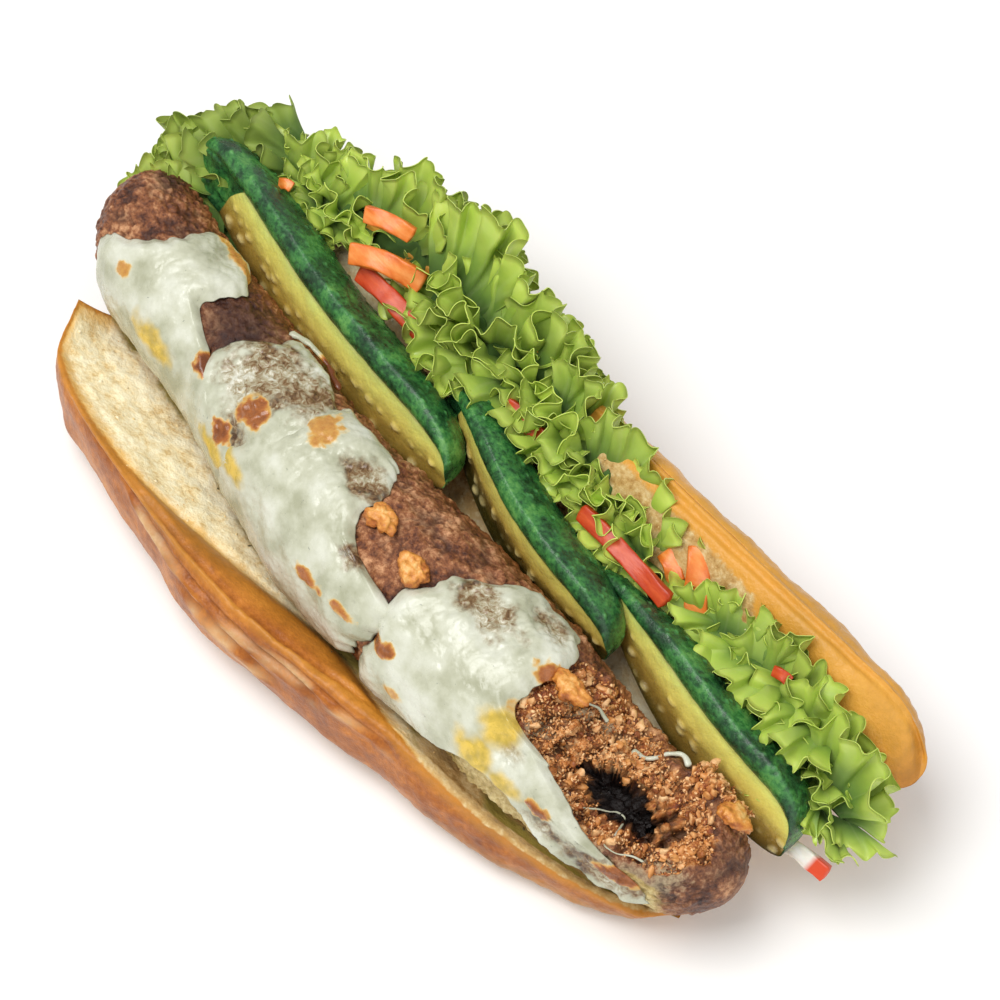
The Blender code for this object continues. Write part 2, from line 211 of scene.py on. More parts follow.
def crumb_height(x, y):
    """Height of the cut face of the bread at a place in plan."""
    rim_y, rim_z = follow(FRONT_RIM, x)
    top_y, top_z = follow(BACK_TOP, x)
    nest_y = follow(MEAT_LINE, x)[0]
    to_front = np.clip((nest_y - y) / (nest_y - rim_y), 0.0, 1.2)
    to_back = np.clip((y - nest_y) / (top_y - CUT_EDGE - nest_y), 0.0, 1.1)
    heel = HEEL_RISE * ease((x - HEEL_START) / 30) * np.sin(np.pi * np.minimum(to_back, 1.0)) * to_back
    front = NEST_FLOOR + (rim_z - NEST_FLOOR) * to_front**1.6
    back = NEST_FLOOR + (top_z - CUT_EDGE - NEST_FLOOR) * to_back**1.9 + heel
    return np.where(y < nest_y, front, back)


def crust_section(x, v):
    """The crust outside at x, from the front rim, under the hinge and up over the back."""
    rim_y, rim_z = follow(FRONT_RIM, x)
    top_y, top_z = follow(BACK_TOP, x)
    swell_y = rim_y - FRONT_BULGE * rim_z / 30
    swell_z = 0.42 * rim_z
    back_y = top_y + BACK_BULGE
    back_z = 0.5 * top_z
    quarter = np.pi / 2
    parts = []
    turn = quarter * v / 0.18
    parts.append((rim_y + (swell_y - rim_y) * np.sin(turn), swell_z + (rim_z - swell_z) * np.cos(turn)))
    turn = quarter * (v - 0.18) / 0.22
    parts.append((HINGE_FRONT + (swell_y - HINGE_FRONT) * np.cos(turn), swell_z * (1 - np.sin(turn))))
    parts.append((blend(HINGE_FRONT, HINGE_BACK, (v - 0.4) / 0.16), 0 * v))
    turn = quarter * (v - 0.56) / 0.19
    parts.append((HINGE_BACK + (back_y - HINGE_BACK) * np.sin(turn), back_z * (1 - np.cos(turn))))
    turn = (quarter + 0.5) * (v - 0.75) / 0.25
    parts.append((top_y + BACK_BULGE * np.cos(turn), back_z + (top_z - back_z) * np.sin(turn)))
    where = [v < 0.18, v < 0.4, v < 0.56, v < 0.75, v >= 0.75]
    return np.select(where, [p[0] for p in parts]), np.select(where, [p[1] for p in parts])


def bread_grids(along, across):
    """The crust and the crumb of the roll as two smooth grids of points that share their rim."""
    u, v = np.meshgrid(np.linspace(0, 1, along + 1), np.linspace(0, 1, across + 1), indexing="ij")
    x = along_roll(u, v)
    rim_y = follow(FRONT_RIM, x)[0]
    edge_y = follow(BACK_TOP, x)[0] - CUT_EDGE
    y = blend(rim_y, edge_y, v)
    crumb = np.stack([x, y, crumb_height(x, y)], -1)
    side_y, side_z = crust_section(x, v)
    full = np.maximum(1 - np.abs(2 * u - 1)**5, 0.0)**0.4
    crust = crumb + (np.stack([x, side_y, side_z], -1) - crumb) * full[..., None]
    # the crust turns in to the crumb's own rim, so that neither folds over the other there
    crust += (crumb[:, -1:] - crust[:, -1:]) * bell((1 - v) / 0.05)[..., None]
    crust[:, [0, -1]] = crumb[:, [0, -1]]
    return v, crust, crumb


def paint(code):
    """An sRGB hex colour as the linear numbers that a shader reads."""
    channels = [int(code[k:k + 2], 16) / 255 for k in (0, 2, 4)]
    return (*(c / 12.92 if c <= 0.04045 else ((c + 0.055) / 1.055)**2.4 for c in channels), 1.0)


def plug(node, **sockets):
    """Sets a node's sockets, by name or by number as i0, to a value, a hex colour or a node's output."""
    for name, value in sockets.items():
        socket = node.inputs[int(name[1:]) if name[1:].isdigit() else name.replace("_", " ")]
        if isinstance(value, bpy.types.NodeSocket):
            node.id_data.links.new(value, socket)
        else:
            socket.default_value = paint(value) if socket.type == "RGBA" else value


def add_node(tree, kind, out=0, stops=(), **given):
    """Adds a node with its settings (lower case), its sockets and its ramp's stops, and gives one output."""
    made = tree.nodes.new(kind)
    settings = {name: value for name, value in given.items() if name in made.bl_rna.properties}
    for name, value in settings.items():
        setattr(made, name, value)
    for k, (position, colour) in enumerate(stops):
        ramp = made.color_ramp.elements
        stop = ramp[0] if k == 0 else ramp[-1] if k == len(stops) - 1 else ramp.new(position)
        stop.position = position
        stop.color = paint(colour)
    plug(made, **{name: value for name, value in given.items() if name not in settings})
    return made.outputs[out]


def new_finish(name, *marks):
    """An empty finish: its material, what adds a node, its shader, the object's coordinates and its marks."""
    finish = bpy.data.materials.new(name)
    finish.use_nodes = True
    tree = finish.node_tree

    def add(kind, *how, **given):
        return add_node(tree, "ShaderNode" + kind, *how, **given)

    read = {mark: add("Attribute", "Fac", attribute_name=mark) for mark in marks}
    return finish, add, tree.nodes["Principled BSDF"], add("TexCoord", "Object"), read


def weighed(add, first, much, second, little):
    """The sum of two outputs or numbers, each times its own share."""
    return add("Math", operation="MULTIPLY_ADD", i0=first, i1=much,
               i2=add("Math", operation="MULTIPLY", i0=second, i1=little))


def broken_edge(add, mark, noise, rough, low, high, most=1.0):
    """How much of a layer shows where a mark rises from low to high, its edge broken up by a noise."""
    frayed = add("Math", operation="MULTIPLY_ADD", i0=noise, i1=rough, i2=mark)
    return add("MapRange", interpolation_type="SMOOTHSTEP", i0=frayed, i1=low, i2=high, i4=most)


def lay_over(add, under, over, share):
    """Lays one colour over another: share is a number or what broken_edge takes."""
    share = broken_edge(add, *share) if isinstance(share, tuple) else share
    return add("Mix", 2, data_type="RGBA", i0=share, i6=under, i7=over)


def baked_bread():
    """Wheat bread, egg-washed and baked: a thin satin crust with browner patches over a dry open crumb."""
    finish, add, shader, where, mark = new_finish("baked_wheat_bread", "inward", "damp", "oil", "pore",
                                                  "flaky")
    patch = add("TexNoise", Vector=where, Scale=42.0, Detail=4.0, Roughness=0.6)
    fleck = add("TexNoise", Vector=where, Scale=420.0, Detail=5.0, Roughness=0.7)
    pits = add("TexNoise", Vector=where, Scale=900.0, Detail=3.0, Roughness=0.65)
    mottle = add("TexNoise", Vector=where, Scale=190.0, Detail=4.0, Roughness=0.62)
    backward, up = (add("SeparateXYZ", axis, i0=where) for axis in "YZ")
    # crust: golden with browner patches, yellower behind, pale where it rests, with a painted highlight on
    # its crease ridges, and by its rim
    crust = add("ValToRGB", Fac=weighed(add, fleck, 0.45, patch, 0.75),
                stops=((0.36, "DE9E4A"), (0.5, "C5782B"), (0.62, "A45C1B"), (0.76, "7E4118")))
    high = add("MapRange", interpolation_type="SMOOTHSTEP", i0=up, i1=0.022, i2=0.044, i3=0.1, i4=0.6)
    crust = lay_over(add, crust, "EBB347", (backward, fleck, 0.0, 0.02, 0.04, high))
    crust = lay_over(add, crust, "B98A48", (up, fleck, 0.0, 0.013, 0.001))
    # painted highlight: a pale glint along the ridge beside each crease
    flaked = add("Math", operation="MULTIPLY", use_clamp=True, i0=mark["flaky"],
                 i1=add("Math", operation="MULTIPLY", i0=fleck, i1=1.5))
    crust = lay_over(add, crust, "F3D09A", flaked)
    crust = lay_over(add, crust, "DA9838", (mark["inward"], fleck, 0.0, -9.0, -0.5, 0.5))
    # crumb: cream with painted shade in its pores, toasted close to the crust, brown where damp and olive
    # where oily
    crumb = add("ValToRGB", Fac=weighed(add, pits, 0.35, mottle, 0.65),
                stops=((0.36, "DDBD82"), (0.45, "F3E0B0"), (0.58, "FDF3D0")))
    damp = add("ValToRGB", Fac=fleck, stops=((0.34, "A87D42"), (0.5, "C9A468"), (0.68, "E3CB98")))
    # painted shade inside the pores
    crumb = lay_over(add, crumb, "DDC08A", mark["pore"])
    crumb = lay_over(add, crumb, "E9B864", (mark["inward"], fleck, 5.0, 7.0, 2.6))
    crumb = lay_over(add, crumb, damp, (mark["damp"], fleck, 0.9, 0.6, 1.25))
    crumb = lay_over(add, crumb, "96843A", (mark["oil"], fleck, 0.9, 0.65, 1.4))
    # the crust gives way to the crumb along an uneven line
    opened = broken_edge(add, mark["inward"], fleck, 2.6, 1.3, 2.6)
    plug(shader, Base_Color=lay_over(add, crust, crumb, opened), Specular_IOR_Level=0.38,
         Roughness=add("MapRange", i0=opened, i3=0.36, i4=0.88),
         Normal=add("Bump", Height=add("Math", operation="ADD", i0=pits, i1=fleck), Distance=0.0009,
                    Strength=add("MapRange", i0=opened, i3=0.32, i4=0.42)))
    return finish


def build_bread():
    """The roll as one closed piece, crust and crumb."""
    v, crust, crumb = bread_grids(330, 138)
    x, y = crumb[..., 0], crumb[..., 1]
    start, end = along_roll(0 * v, v), along_roll(0 * v + 1, v)
    to_rim, to_cut = v * CRUMB_SPAN, (1 - v) * CRUMB_SPAN
    to_end = np.minimum(x - start, end - x)
    rolled = follow(ROLLED_EDGE, x)[0]
    inward = np.minimum(np.minimum(to_rim - rolled, to_cut - follow(BACK_LIP, x)[0]), to_end)
    # the heel of the back half is crust on the inside too
    heel = (HEEL_SKIN - x - 2 * y) * 0.45 + 2 * bumps(crumb, 9, 2.2)
    inward = np.where(v > 0.55, np.minimum(inward, heel), inward)
    outward = -np.minimum(np.minimum(v * CRUST_SPAN + np.minimum(rolled, 0), (1 - v) * CRUST_SPAN), to_end)
    inner = np.minimum(ease(to_end / 5), ease(np.minimum(to_rim, to_cut) / 3))
    shoulder = np.sin(np.pi * np.clip(to_rim / (1.2 * np.maximum(rolled, 0.5)), 0, 1)) * ease(rolled / 5)
    crease = bell((to_rim - 1.25 * rolled) / 1.6) * ease(rolled / 5)
    # pores in the crumb, sunk and given painted shade, and where the filling has pressed and wetted it
    near, _ = grains(crumb * (1, 1, 0.7), 2.3, 4.4)
    pore = ease((0.36 - near) / 0.3) * ease((bumps(crumb, 9, 1.2) + 0.1) / 0.4)
    is_crumb = ease(inward / 3)
    damp = (ease((x - 18) / 45) * ease((0.36 - v) / 0.12) + 0.35 * ease((v - 0.5) / 0.1)
            + ease((v - 0.62) / 0.14) * ease((x + 70) / 60) * 0.9)
    nest_y, _, meat_r = follow(MEAT_LINE, x)
    from_meat = nest_y - meat_r * 0.86 - y
    oil = bell((from_meat - 1.5) / 2.6) * ease((bumps(crumb, 12, 7.7) + 0.45) / 0.5)
    oil += 0.7 * ease((x - 25) / 30) * ease((bumps(crumb, 7, 3.9) - 0.05) / 0.3) * (y < nest_y)
    up = uneven(crumb, (0.28, 1.6, 1.9), (0.7, 5, 5.1), (1.3, 17, 8.3)) - 0.5 * pore
    smooth = uneven(crumb, (0.5, 7, 4.6), (0.6, 15, 9.4))
    # the back half is full and round inside its cut edge, and more so towards the heel
    rounded = ease((x + 20) / 50)
    full = 5.5 * (to_cut / 11) * np.exp(1 - to_cut / 11) * rounded * (0.35 + 0.65 * ease((118 - x) / 25))
    crumb[..., 2] += (blend(smooth, up, is_crumb) + 2.2 * shoulder - 1.1 * crease + full) * inner
    # the crust: soft dimples, a pebbled end and creases along its front
    out = facing(crust)
    out *= np.sign(np.sum(out * (crust - (0, 2, 26)), axis=-1, keepdims=True))
    along = crust[..., 0]
    pebbled = 0.25 + 0.75 * ease((along - 10) / 50)
    swell = uneven(crust, (1.1, 19, 3.7), (0.45, 7, 6.2), (0.34 * pebbled, 2.6, 9.1), (0.12, 1.3, 2.7))
    level = 0.075 + 0.014 * bumps(crust, 11, 2.6) + 0.0005 * (along + 20)
    flaky = np.zeros_like(v)
    for shift, deep, first, last in CREASES:
        ridge = bell((v - level - shift - 0.018) / 0.013)
        reach = ease((along - first) / 14) * ease((last - along) / 16)
        swell += reach * deep * (0.55 * ridge - bell((v - level - shift) / 0.009))
        # the ridge beside each crease is where the painted highlight goes
        flaky = np.maximum(flaky, reach * ridge * ease((bumps(crust * (0.5, 1, 1), 5, 3.1) + 0.2) / 0.5))
    # it is drawn in a little along the far part of its front and swells along the near part
    front = ease((0.42 - v) / 0.1)
    swell += front * (2.2 * ease((along - 5) / 30) - 2.0 * ease((along + 95) / 20) * ease((-25 - along) / 30))
    free = ease(to_end / 6) * ease(np.minimum(v, 1 - v) / 0.035)
    rests = ease((crust[..., 2] - 0.5) / 6)
    crust += out * (swell * free * rests)[..., None]
    # a torn, uneven rim along both cuts and round the two ends
    for skin, from_cut, reach in ((crumb, to_cut, 9), (crust, (1 - v) * CRUST_SPAN, 5)):
        skin[..., 2] += RIM_RISE * bell(from_cut / reach) * rounded * ease(to_end / 8)
    for edge, rim, most in ((to_rim, crumb[:, :1], 1.0), (to_cut, crumb[:, -1:], 0.35)):
        ragged = most * uneven(rim, (0.9, 7, 3.3), (0.6, 2.4, 6.6), (0.3, 1.1, 1.4))
        for skin, spread in ((crumb, 3.0), (crust, 2.0)):
            skin[..., 2] += ragged * np.exp(-edge / spread) * ease(to_end / 4)
    crust[:, [0, -1]] = crumb[:, [0, -1]]
    crust[[0, -1]] = crumb[[0, -1]]
    none = np.zeros_like(v)
    spilled = ease((x - 18) / 45) * ease((0.3 - v) / 0.1) * 0.7
    return close_skins("bread_roll_baked", crust, crumb, baked_bread(), {
        "inward": (outward, inward), "damp": (spilled, np.clip(damp, 0, 1)),
        "oil": (none, np.clip(oil, 0, 1)), "pore": (none, pore * is_crumb), "flaky": (0.8 * flaky, none),
        "dust": (none, is_crumb * inner)})


bread = build_bread()
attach(bread, "root")
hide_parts("bread_roll")

# ---- the meat ----
# One long log of coarse minced meat, pressed by hand and browned in a pan, so that it is grainy and a little
# greasy, with painted shade in its hollows. It is whole at one end and torn open near the other, where it is
# shredded.
MEAT_ENDS = (-128, 118)         # in x, and how far from them the log starts to round off
END_ROUNDING = 13.0
# where the torn end is hollowed: x, angle from the top, half length, half width in degrees, depth as a share
HOLLOWS = ((63, -8, 9, 50, 0.1), (71, -14, 10, 58, 0.24), (79, -8, 9, 58, 0.4), (87, 20, 10, 38, 0.9),
           (97, 4, 8, 44, 0.5), (104, 12, 6, 36, 0.26), (101, -62, 9, 20, -0.2), (96, -30, 6, 12, 0.34))
# cheese smeared over the torn meat: x, angle, half length, half width in degrees
SMEARS = ((66, -22, 5, 14), (72, -40, 3, 9), (65, 22, 4, 10), (107, 46, 6, 22), (104, 66, 8, 16),
          (94, 74, 8, 16))
# places charred darker: the same, and how strongly
CHARRED = ((-67, -8, 17, 48, 1.3), (-118, -40, 9, 30, 1.0))
TEAR_STEPS = (65.5, 70.5, 75.5, 96.5, 101.5)    # where the torn mince parts in steps, in x
MINCE_GRAIN = 2.7


def meat_radius(x, angle):
    """How far the meat reaches from its middle line; angle in degrees from the top, positive to the front."""
    radius = follow(MEAT_LINE, x)[2]
    for end in MEAT_ENDS:
        inside = np.clip(np.abs(x - end) / END_ROUNDING, 0.0, 1.0)
        radius = radius * np.sqrt(np.maximum(1 - (1 - inside)**2, 0.0004))
    bend = np.radians(angle)
    round_it = np.stack([x, 20 * np.sin(bend), 20 * np.cos(bend)], -1)
    return radius * (1 + 0.045 * bumps(round_it, 22, 3.1))


def tear_depth(x, angle):
    """How deep the meat is torn at a place, 0 to about 1, in ragged steps."""
    depth = np.zeros_like(x)
    place = np.stack([x, angle * 0.3, 0 * x], -1)
    wobble = uneven(place, (0.22, 7, 4.2), (0.16, 2.8, 7.3))
    for middle, turned, half_long, half_wide, deep in HOLLOWS:
        away = np.hypot((x - middle) / half_long, (angle - turned) / half_wide) + wobble
        here = deep * ease((1.3 - away) / 0.55)
        depth = np.where(np.abs(here) > np.abs(depth), here, depth)
    return depth


def meat_point(x, angle, lift=0.0):
    """Points on the meat, or lifted off it."""
    y, z, _ = follow(MEAT_LINE, x)
    reach = meat_radius(x, angle) + lift
    bend = np.radians(angle)
    return np.stack([x + 0 * reach, y - reach * np.sin(bend), z + reach * np.cos(bend)], -1)


def mince(points):
    """Relief of the mince in millimetres: rounded grains with creases between them."""
    near, far = grains(points + 1.3 * drift(points, 3.2, 3.3, 6.3, 9.3), MINCE_GRAIN, 2.3)
    return (0.65 * ease((far - near) / 0.5) - 0.35
            + uneven(points, (0.8, 6, 1.1), (0.45, 2.4, 5.2), (0.25, 1.1, 8.8)))


def browned_mince():
    """Minced meat with its fat browned: uneven red-brown, painted shade near black in its creases and torn
    hole, a broken shine.
    """
    finish, add, shader, where, mark = new_finish("browned_minced_meat", "hollow", "torn", "char", "cavity",
                                                  "smear", "soaked")
    patch = add("TexNoise", Vector=where, Scale=110.0, Detail=4.0, Roughness=0.6)
    fleck = add("TexNoise", Vector=where, Scale=620.0, Detail=5.0, Roughness=0.72)
    tone = weighed(add, fleck, 0.6, patch, 0.5)
    outside, inside, soaked = (add("ValToRGB", Fac=tone, stops=stops) for stops in (
        ((0.39, "2C140A"), (0.47, "66361E"), (0.56, "995F38"), (0.68, "DDA577")),
        ((0.36, "42190A"), (0.46, "96491E"), (0.57, "CE8644"), (0.7, "F2C48A")),
        ((0.38, "5E4E22"), (0.47, "94803C"), (0.56, "C2A768"), (0.68, "E2CF94"))))
    colour = lay_over(add, outside, inside, mark["torn"])
    # char is the meat's own charring; hollow and cavity are painted shade, in its creases and its deep torn
    # hole
    for name, shade, most in (("char", "2C0F0A", 0.8), ("hollow", "2C1510", 0.8), ("cavity", "140906", 1.0)):
        colour = lay_over(add, colour, shade, add("Math", operation="MULTIPLY", i0=mark[name], i1=most))
    colour = lay_over(add, colour, "B8A684", (mark["smear"], fleck, 2.4, 1.5, 2.5, 0.85))
    # crumb and oil that stick to its front
    colour = lay_over(add, colour, soaked, (mark["soaked"], patch, 0.8, 0.6, 1.1))
    plug(shader, Base_Color=colour, Specular_IOR_Level=0.45,
         Roughness=add("MapRange", i0=patch, i1=0.35, i2=0.65, i3=0.3, i4=0.6),
         Normal=add("Bump", Height=fleck, Strength=0.7, Distance=0.0011))
    return finish


def build_meat():
    """The log as one closed piece, round its middle line."""
    steps, sides = 430, 210
    u, turn = np.meshgrid(np.linspace(0, 1, steps), np.arange(sides) / sides, indexing="ij")
    x = blend(MEAT_ENDS[0] + 0.02, MEAT_ENDS[1] - 0.02, blend(u, 0.5 - 0.5 * np.cos(np.pi * u), 0.3))
    angle = (turn * 360 + 180) % 360 - 180
    depth = tear_depth(x, angle)
    torn = ease((np.abs(depth) - 0.05) / 0.08)
    ends = np.minimum(ease((x - MEAT_ENDS[0]) / 4), ease((MEAT_ENDS[1] - x) / 4))
    base = meat_point(x, angle, -meat_radius(x, angle) * depth)
    y, z, _ = follow(MEAT_LINE, x)
    out = facing(base)
    out *= np.sign(np.sum(out * (base - np.stack([x, y, z], -1)), axis=-1, keepdims=True))
    out = blend(meat_point(x, angle, 1.0) - meat_point(x, angle), out, torn[..., None])
    # torn mince breaks into coarse crumbs with deep gaps between them
    near, far = grains(base * (1.25, 0.8, 0.8), 2.6, 6.1)
    crumbs = (1.5 * ease((far - near) / 0.4) - 1.0 + 1.2 * bumps(base, 4.5, 3.3)
              + 1.1 * bumps(base * (1.5, 0.6, 0.6), 1.8, 4.9) + 0.6 * bumps(base * (1.4, 0.7, 0.7), 0.9, 2.2))
    # it parts in steps across the log, with a deep slot under each that painted shade darkens
    slots = sum(bell((x - step + 1.6 * bumps(base * (0.2, 1, 1), 6, step)) / 0.8) for step in TEAR_STEPS)
    crumbs -= 2.6 * slots * ease((angle + 50) / 15)
    relief = blend(mince(base), crumbs, torn) * (0.3 + 0.7 * ends)
    # painted shade: hollow darkens where the relief sinks, between grains and in the torn gaps
    hollow = np.maximum(ease((-relief + 0.05) / 0.9) * 0.85, torn * ease((-relief - 0.2) / 1.4))
    char = 0.5 * ease((x - 106) / 8) * ease((bumps(base, 7, 6.4) + 0.5) / 0.7)
    for middle, turned, half_long, half_wide, strong in CHARRED:
        char += ease(strong - np.hypot((x - middle) / half_long, (angle - turned) / half_wide))
    smear = np.zeros_like(x)
    for middle, turned, half_long, half_wide in SMEARS:
        away = np.hypot((x - middle) / half_long, (angle - turned) / half_wide)
        smear = np.maximum(smear, ease((1.4 - away) / 1.1))
    return close_rings("minced_meat_browned", base + out * relief[..., None], browned_mince(), {
        "hollow": hollow, "torn": torn, "char": np.clip(char, 0, 1), "cavity": ease((depth - 0.45) / 0.2),
        "shreds": torn * (1 - ease((depth - 0.38) / 0.14)), "smear": smear,
        "soaked": ease((x - 24) / 14) * ease((114 - x) / 12) * ease((angle - 62) / 10) * (angle < 165)})


meat = build_meat()
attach(meat, "root")
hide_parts("minced_meat_log")

# ---- the cheese ----
# Four slices of white cheese, melted over the meat one behind the other. They cling to the mince, so that it
# shows through where they are thin, and they are browned in spots where the heat caught them.
CHEESE_THICK = 2.2
CHEESE_CLEARANCE = 0.5          # how far its underside stays off the meat
# a slice: rows of the angle round the meat, and the x where the cheese starts and ends there
SLICES = (
    ("cheese_slice_1", ((-60, -92, -86), (-46, -95, -80), (-27, -98, -75), (0, -101, -77), (15, -104, -77),
                        (35, -109, -63), (50, -114, -56), (70, -116, -50), (108, -113, -48))),
    ("cheese_slice_2", ((-52, -56, -46), (-40, -58, -38), (-28, -57, -31), (0, -64, -28), (20, -66, -30),
                        (40, -66, -32), (60, -68, -36), (80, -69, -40), (110, -69, -42))),
    ("cheese_slice_3", ((-44, -30, -16), (-28, -31, -6), (-12, -34, -3), (5, -33, -3), (27, -38, 5),
                        (37, -42, 20), (60, -46, 21), (80, -46, 17), (110, -44, 12))),
    ("cheese_slice_4", ((-50, 41, 53), (-35, 34, 58.5), (-18, 30, 60), (-3, 25, 59.5), (11, 22, 59.5),
                        (26, 20, 62), (36, 20, 72), (46, 20, 79), (56, 21, 84), (64, 21, 91), (76, 20, 104),
                        (104, 16, 108))),
)
# how far a slice hangs down over the front: x, angle
HANG = {3: ((14, 104), (28, 98), (36, 92), (44, 84), (52, 76), (60, 67), (67, 66), (74, 74), (82, 86),
            (90, 91), (100, 94), (112, 92))}
# thin windows, where the mince shows through: slice, x, angle, half length, half width in degrees, how thin
WINDOWS = ((0, -88, -30, 9, 22, 0.4), (1, -52, 2, 14, 46, 1.1), (1, -38, -18, 12, 28, 1.05),
           (1, -44, 44, 8, 13, 0.9), (2, -9, -8, 11, 16, 1.0), (2, 5, 30, 6, 11, 0.9),
           (3, 36, -6, 14, 18, 1.0), (3, 49, -30, 8, 13, 0.95), (3, 84, 72, 12, 12, 0.75),
           (3, 98, 78, 14, 18, 1.0), (3, 66, 44, 5, 10, 0.6))
# browned spots: slice, x, angle, half length, half width in degrees, how brown
SPOTS = ((0, -102, 46, 3, 8, 0.55), (0, -65, 37, 4.6, 12, 0.95), (0, -84, -41, 10, 8, 0.6),
         (1, -44, 26, 6.5, 13, 0.8), (1, -48, 53, 5, 9, 0.85), (2, -27, -9, 5.5, 16, 0.55),
         (2, -1, 61, 5.5, 5.5, 0.75), (2, 12, 58, 5.5, 4.5, 0.7), (3, 25, 55, 6, 6.5, 0.85),
         (3, 33, 76, 4, 5, 0.5), (3, 79, 60, 3.6, 6, 0.85), (3, 101, 72, 6, 8, 0.85),
         (3, 60, -6, 6, 10, 0.75), (3, 59, 22, 3, 6, 0.4))
# fat stains, yellow to green: slice, x, angle, half length, half width in degrees, how strong
STAINS = ((0, -83, 63, 10, 12, 1.0), (1, -47, 70, 10, 9, 1.0), (2, -40, 60, 8, 9, 1.0),
          (3, 61, 36, 6, 16, 1.0), (3, 60, 60, 8, 13, 1.0), (3, 69, 62, 6, 8, 1.0))


def patches(rows, number, x, angle, wobble, soft=0.75):
    """How strongly the spots of one slice cover each place, 0 to 1, with edges as soft as given."""
    cover = np.zeros_like(x)
    for slice_number, middle, turned, half_long, half_wide, strong in rows:
        if slice_number == number:
            away = np.hypot((x - middle) / half_long, (angle - turned) / half_wide) + wobble
            cover = np.maximum(cover, strong * ease((0.78 + soft / 2 - away) / soft))
    return cover


def melted_cheese():
    """White stringy cheese, melted and set again: glossy, a little translucent, with a cool grey cast."""
    finish, add, shader, where, mark = new_finish("melted_white_cheese", "thin", "toast", "stain")
    patch = add("TexNoise", Vector=where, Scale=95.0, Detail=4.0, Roughness=0.55)
    fleck = add("TexNoise", Vector=where, Scale=560.0, Detail=5.0, Roughness=0.7)
    bubble = add("TexNoise", Vector=where, Scale=330.0, Detail=3.0, Roughness=0.6)
    froth = add("TexNoise", Vector=where, Scale=520.0, Detail=4.0, Roughness=0.65, Distortion=1.2)
    colour = add("ValToRGB", Fac=patch, stops=((0.36, "A9AA8F"), (0.5, "C3C4AD"), (0.66, "D8D9C8")))
    colour = lay_over(add, colour, "6E7468", (fleck, fleck, 0.0, 0.655, 0.72, 0.75))
    fat = add("ValToRGB", Fac=bubble, stops=((0.35, "B59A2C"), (0.65, "E2BE44")))
    colour = lay_over(add, colour, fat, add("Math", operation="MULTIPLY", i0=mark["stain"], i1=0.92))
    # the mince through a thin skin of cheese, mottled
    through = add("ValToRGB", Fac=weighed(add, froth, 0.45, patch, 0.55),
                  stops=((0.4, "4A3019"), (0.47, "7D5F3B"), (0.54, "ABA183"), (0.62, "D6D4C4")))
    colour = lay_over(add, colour, through, (mark["thin"], bubble, 1.1, 0.86, 1.5))
    brown = weighed(add, fleck, 0.4, mark["toast"], 0.8)
    toast = add("ValToRGB", Fac=brown, stops=((0.36, "DECA92"), (0.54, "D0A050"), (0.76, "A9642F"),
                                              (0.96, "6E3A1C")))
    colour = lay_over(add, colour, toast, (brown, fleck, 0.0, 0.27, 0.6))
    plug(shader, Base_Color=colour, Specular_IOR_Level=0.5,
         Roughness=add("MapRange", i0=bubble, i1=0.35, i2=0.65, i3=0.14, i4=0.34),
         Normal=add("Bump", Strength=0.32, Distance=0.0008,
                    Height=add("Math", operation="MULTIPLY_ADD", i0=fleck, i1=0.35, i2=bubble)))
    return finish


def build_slice(number, name, rows, finish):
    """One slice as a closed piece draped over the meat, with an uneven melted edge."""
    span = max(row[2] for row in rows) - min(row[1] for row in rows)
    u, v = np.meshgrid(np.linspace(0, 1, int(span * 1.9)), np.linspace(0, 1, 150), indexing="ij")
    angle = blend(rows[0][0], rows[-1][0], v)
    start, end = (edge + uneven(meat_point(edge, angle), (2.2, 8, number + broad), (1.2, 2.8, number + fine))
                  for edge, broad, fine in zip(follow(rows, angle), (1.3, 6.7), (4.1, 9.9)))
    x = blend(start, end, u)
    waver = np.stack([x, 0 * x, 0 * x], -1)
    if number in HANG:
        low = follow(HANG[number], x)[0] + 2.5 * bumps(waver, 5, 3.3)
        angle = np.where(angle > 30, 30 + (angle - 30) * (low - 30) / (rows[-1][0] - 30), angle)
    angle = angle + uneven(waver, (3.5, 9, number + 2.4), (2.5, 3, number + 5.2)) * (1 - v)**3
    on = meat_point(x, angle)
    wobble = uneven(on, (0.3, 4.5, 3.6), (0.2, 1.8, 7.4))
    thin = patches(WINDOWS, number, x, angle, wobble, 1.15)
    toast = patches(SPOTS, number, x, angle, 1.5 * wobble + 0.2 * bumps(on, 0.9, 5.3))
    stain = patches(STAINS, number, x, angle, wobble)
    # it thins out to its edges, sinks between the grains of mince and blisters where it browned
    to_side, to_top = np.minimum(x - start, end - x), v * 150 * 0.33
    edge = ease(np.minimum(to_side, to_top) / 4.5)
    grain = mince(on)
    thick = CHEESE_THICK * np.sqrt(np.clip(edge, 0, 1)) * (1 - 0.72 * thin)
    soft = uneven(on, (0.55, 10, 5.9), (0.28, 4, 2.8), (0.12, 1.5, 6.1)) + 0.5 * grain * (0.25 + 0.75 * thin)
    blister = 0.5 * toast * (1 + bumps(on, 1.6, 8.2)) + 0.35 * thin * bumps(on, 1.3, 4.4)
    base = CHEESE_CLEARANCE + 0.25 * grain * (1 - 0.5 * edge) * (1 - edge)
    upper = meat_point(x, angle, base + 0.3 + thick + (soft + blister) * edge - 0.3 * (1 - edge))
    lower = meat_point(x, angle, base - 0.6 * edge)
    for k in (0, -1):
        upper[k] = lower[k]
        upper[:, k] = lower[:, k]
    return close_skins(name + "_melted", upper, lower, finish, {
        "thin": (thin, thin), "toast": (toast, toast), "stain": (stain, stain)})


cheese_finish = melted_cheese()
for number, (name, rows) in enumerate(SLICES):
    cheese = build_slice(number, name, rows, cheese_finish)
    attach(cheese, "root")
    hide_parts(name)

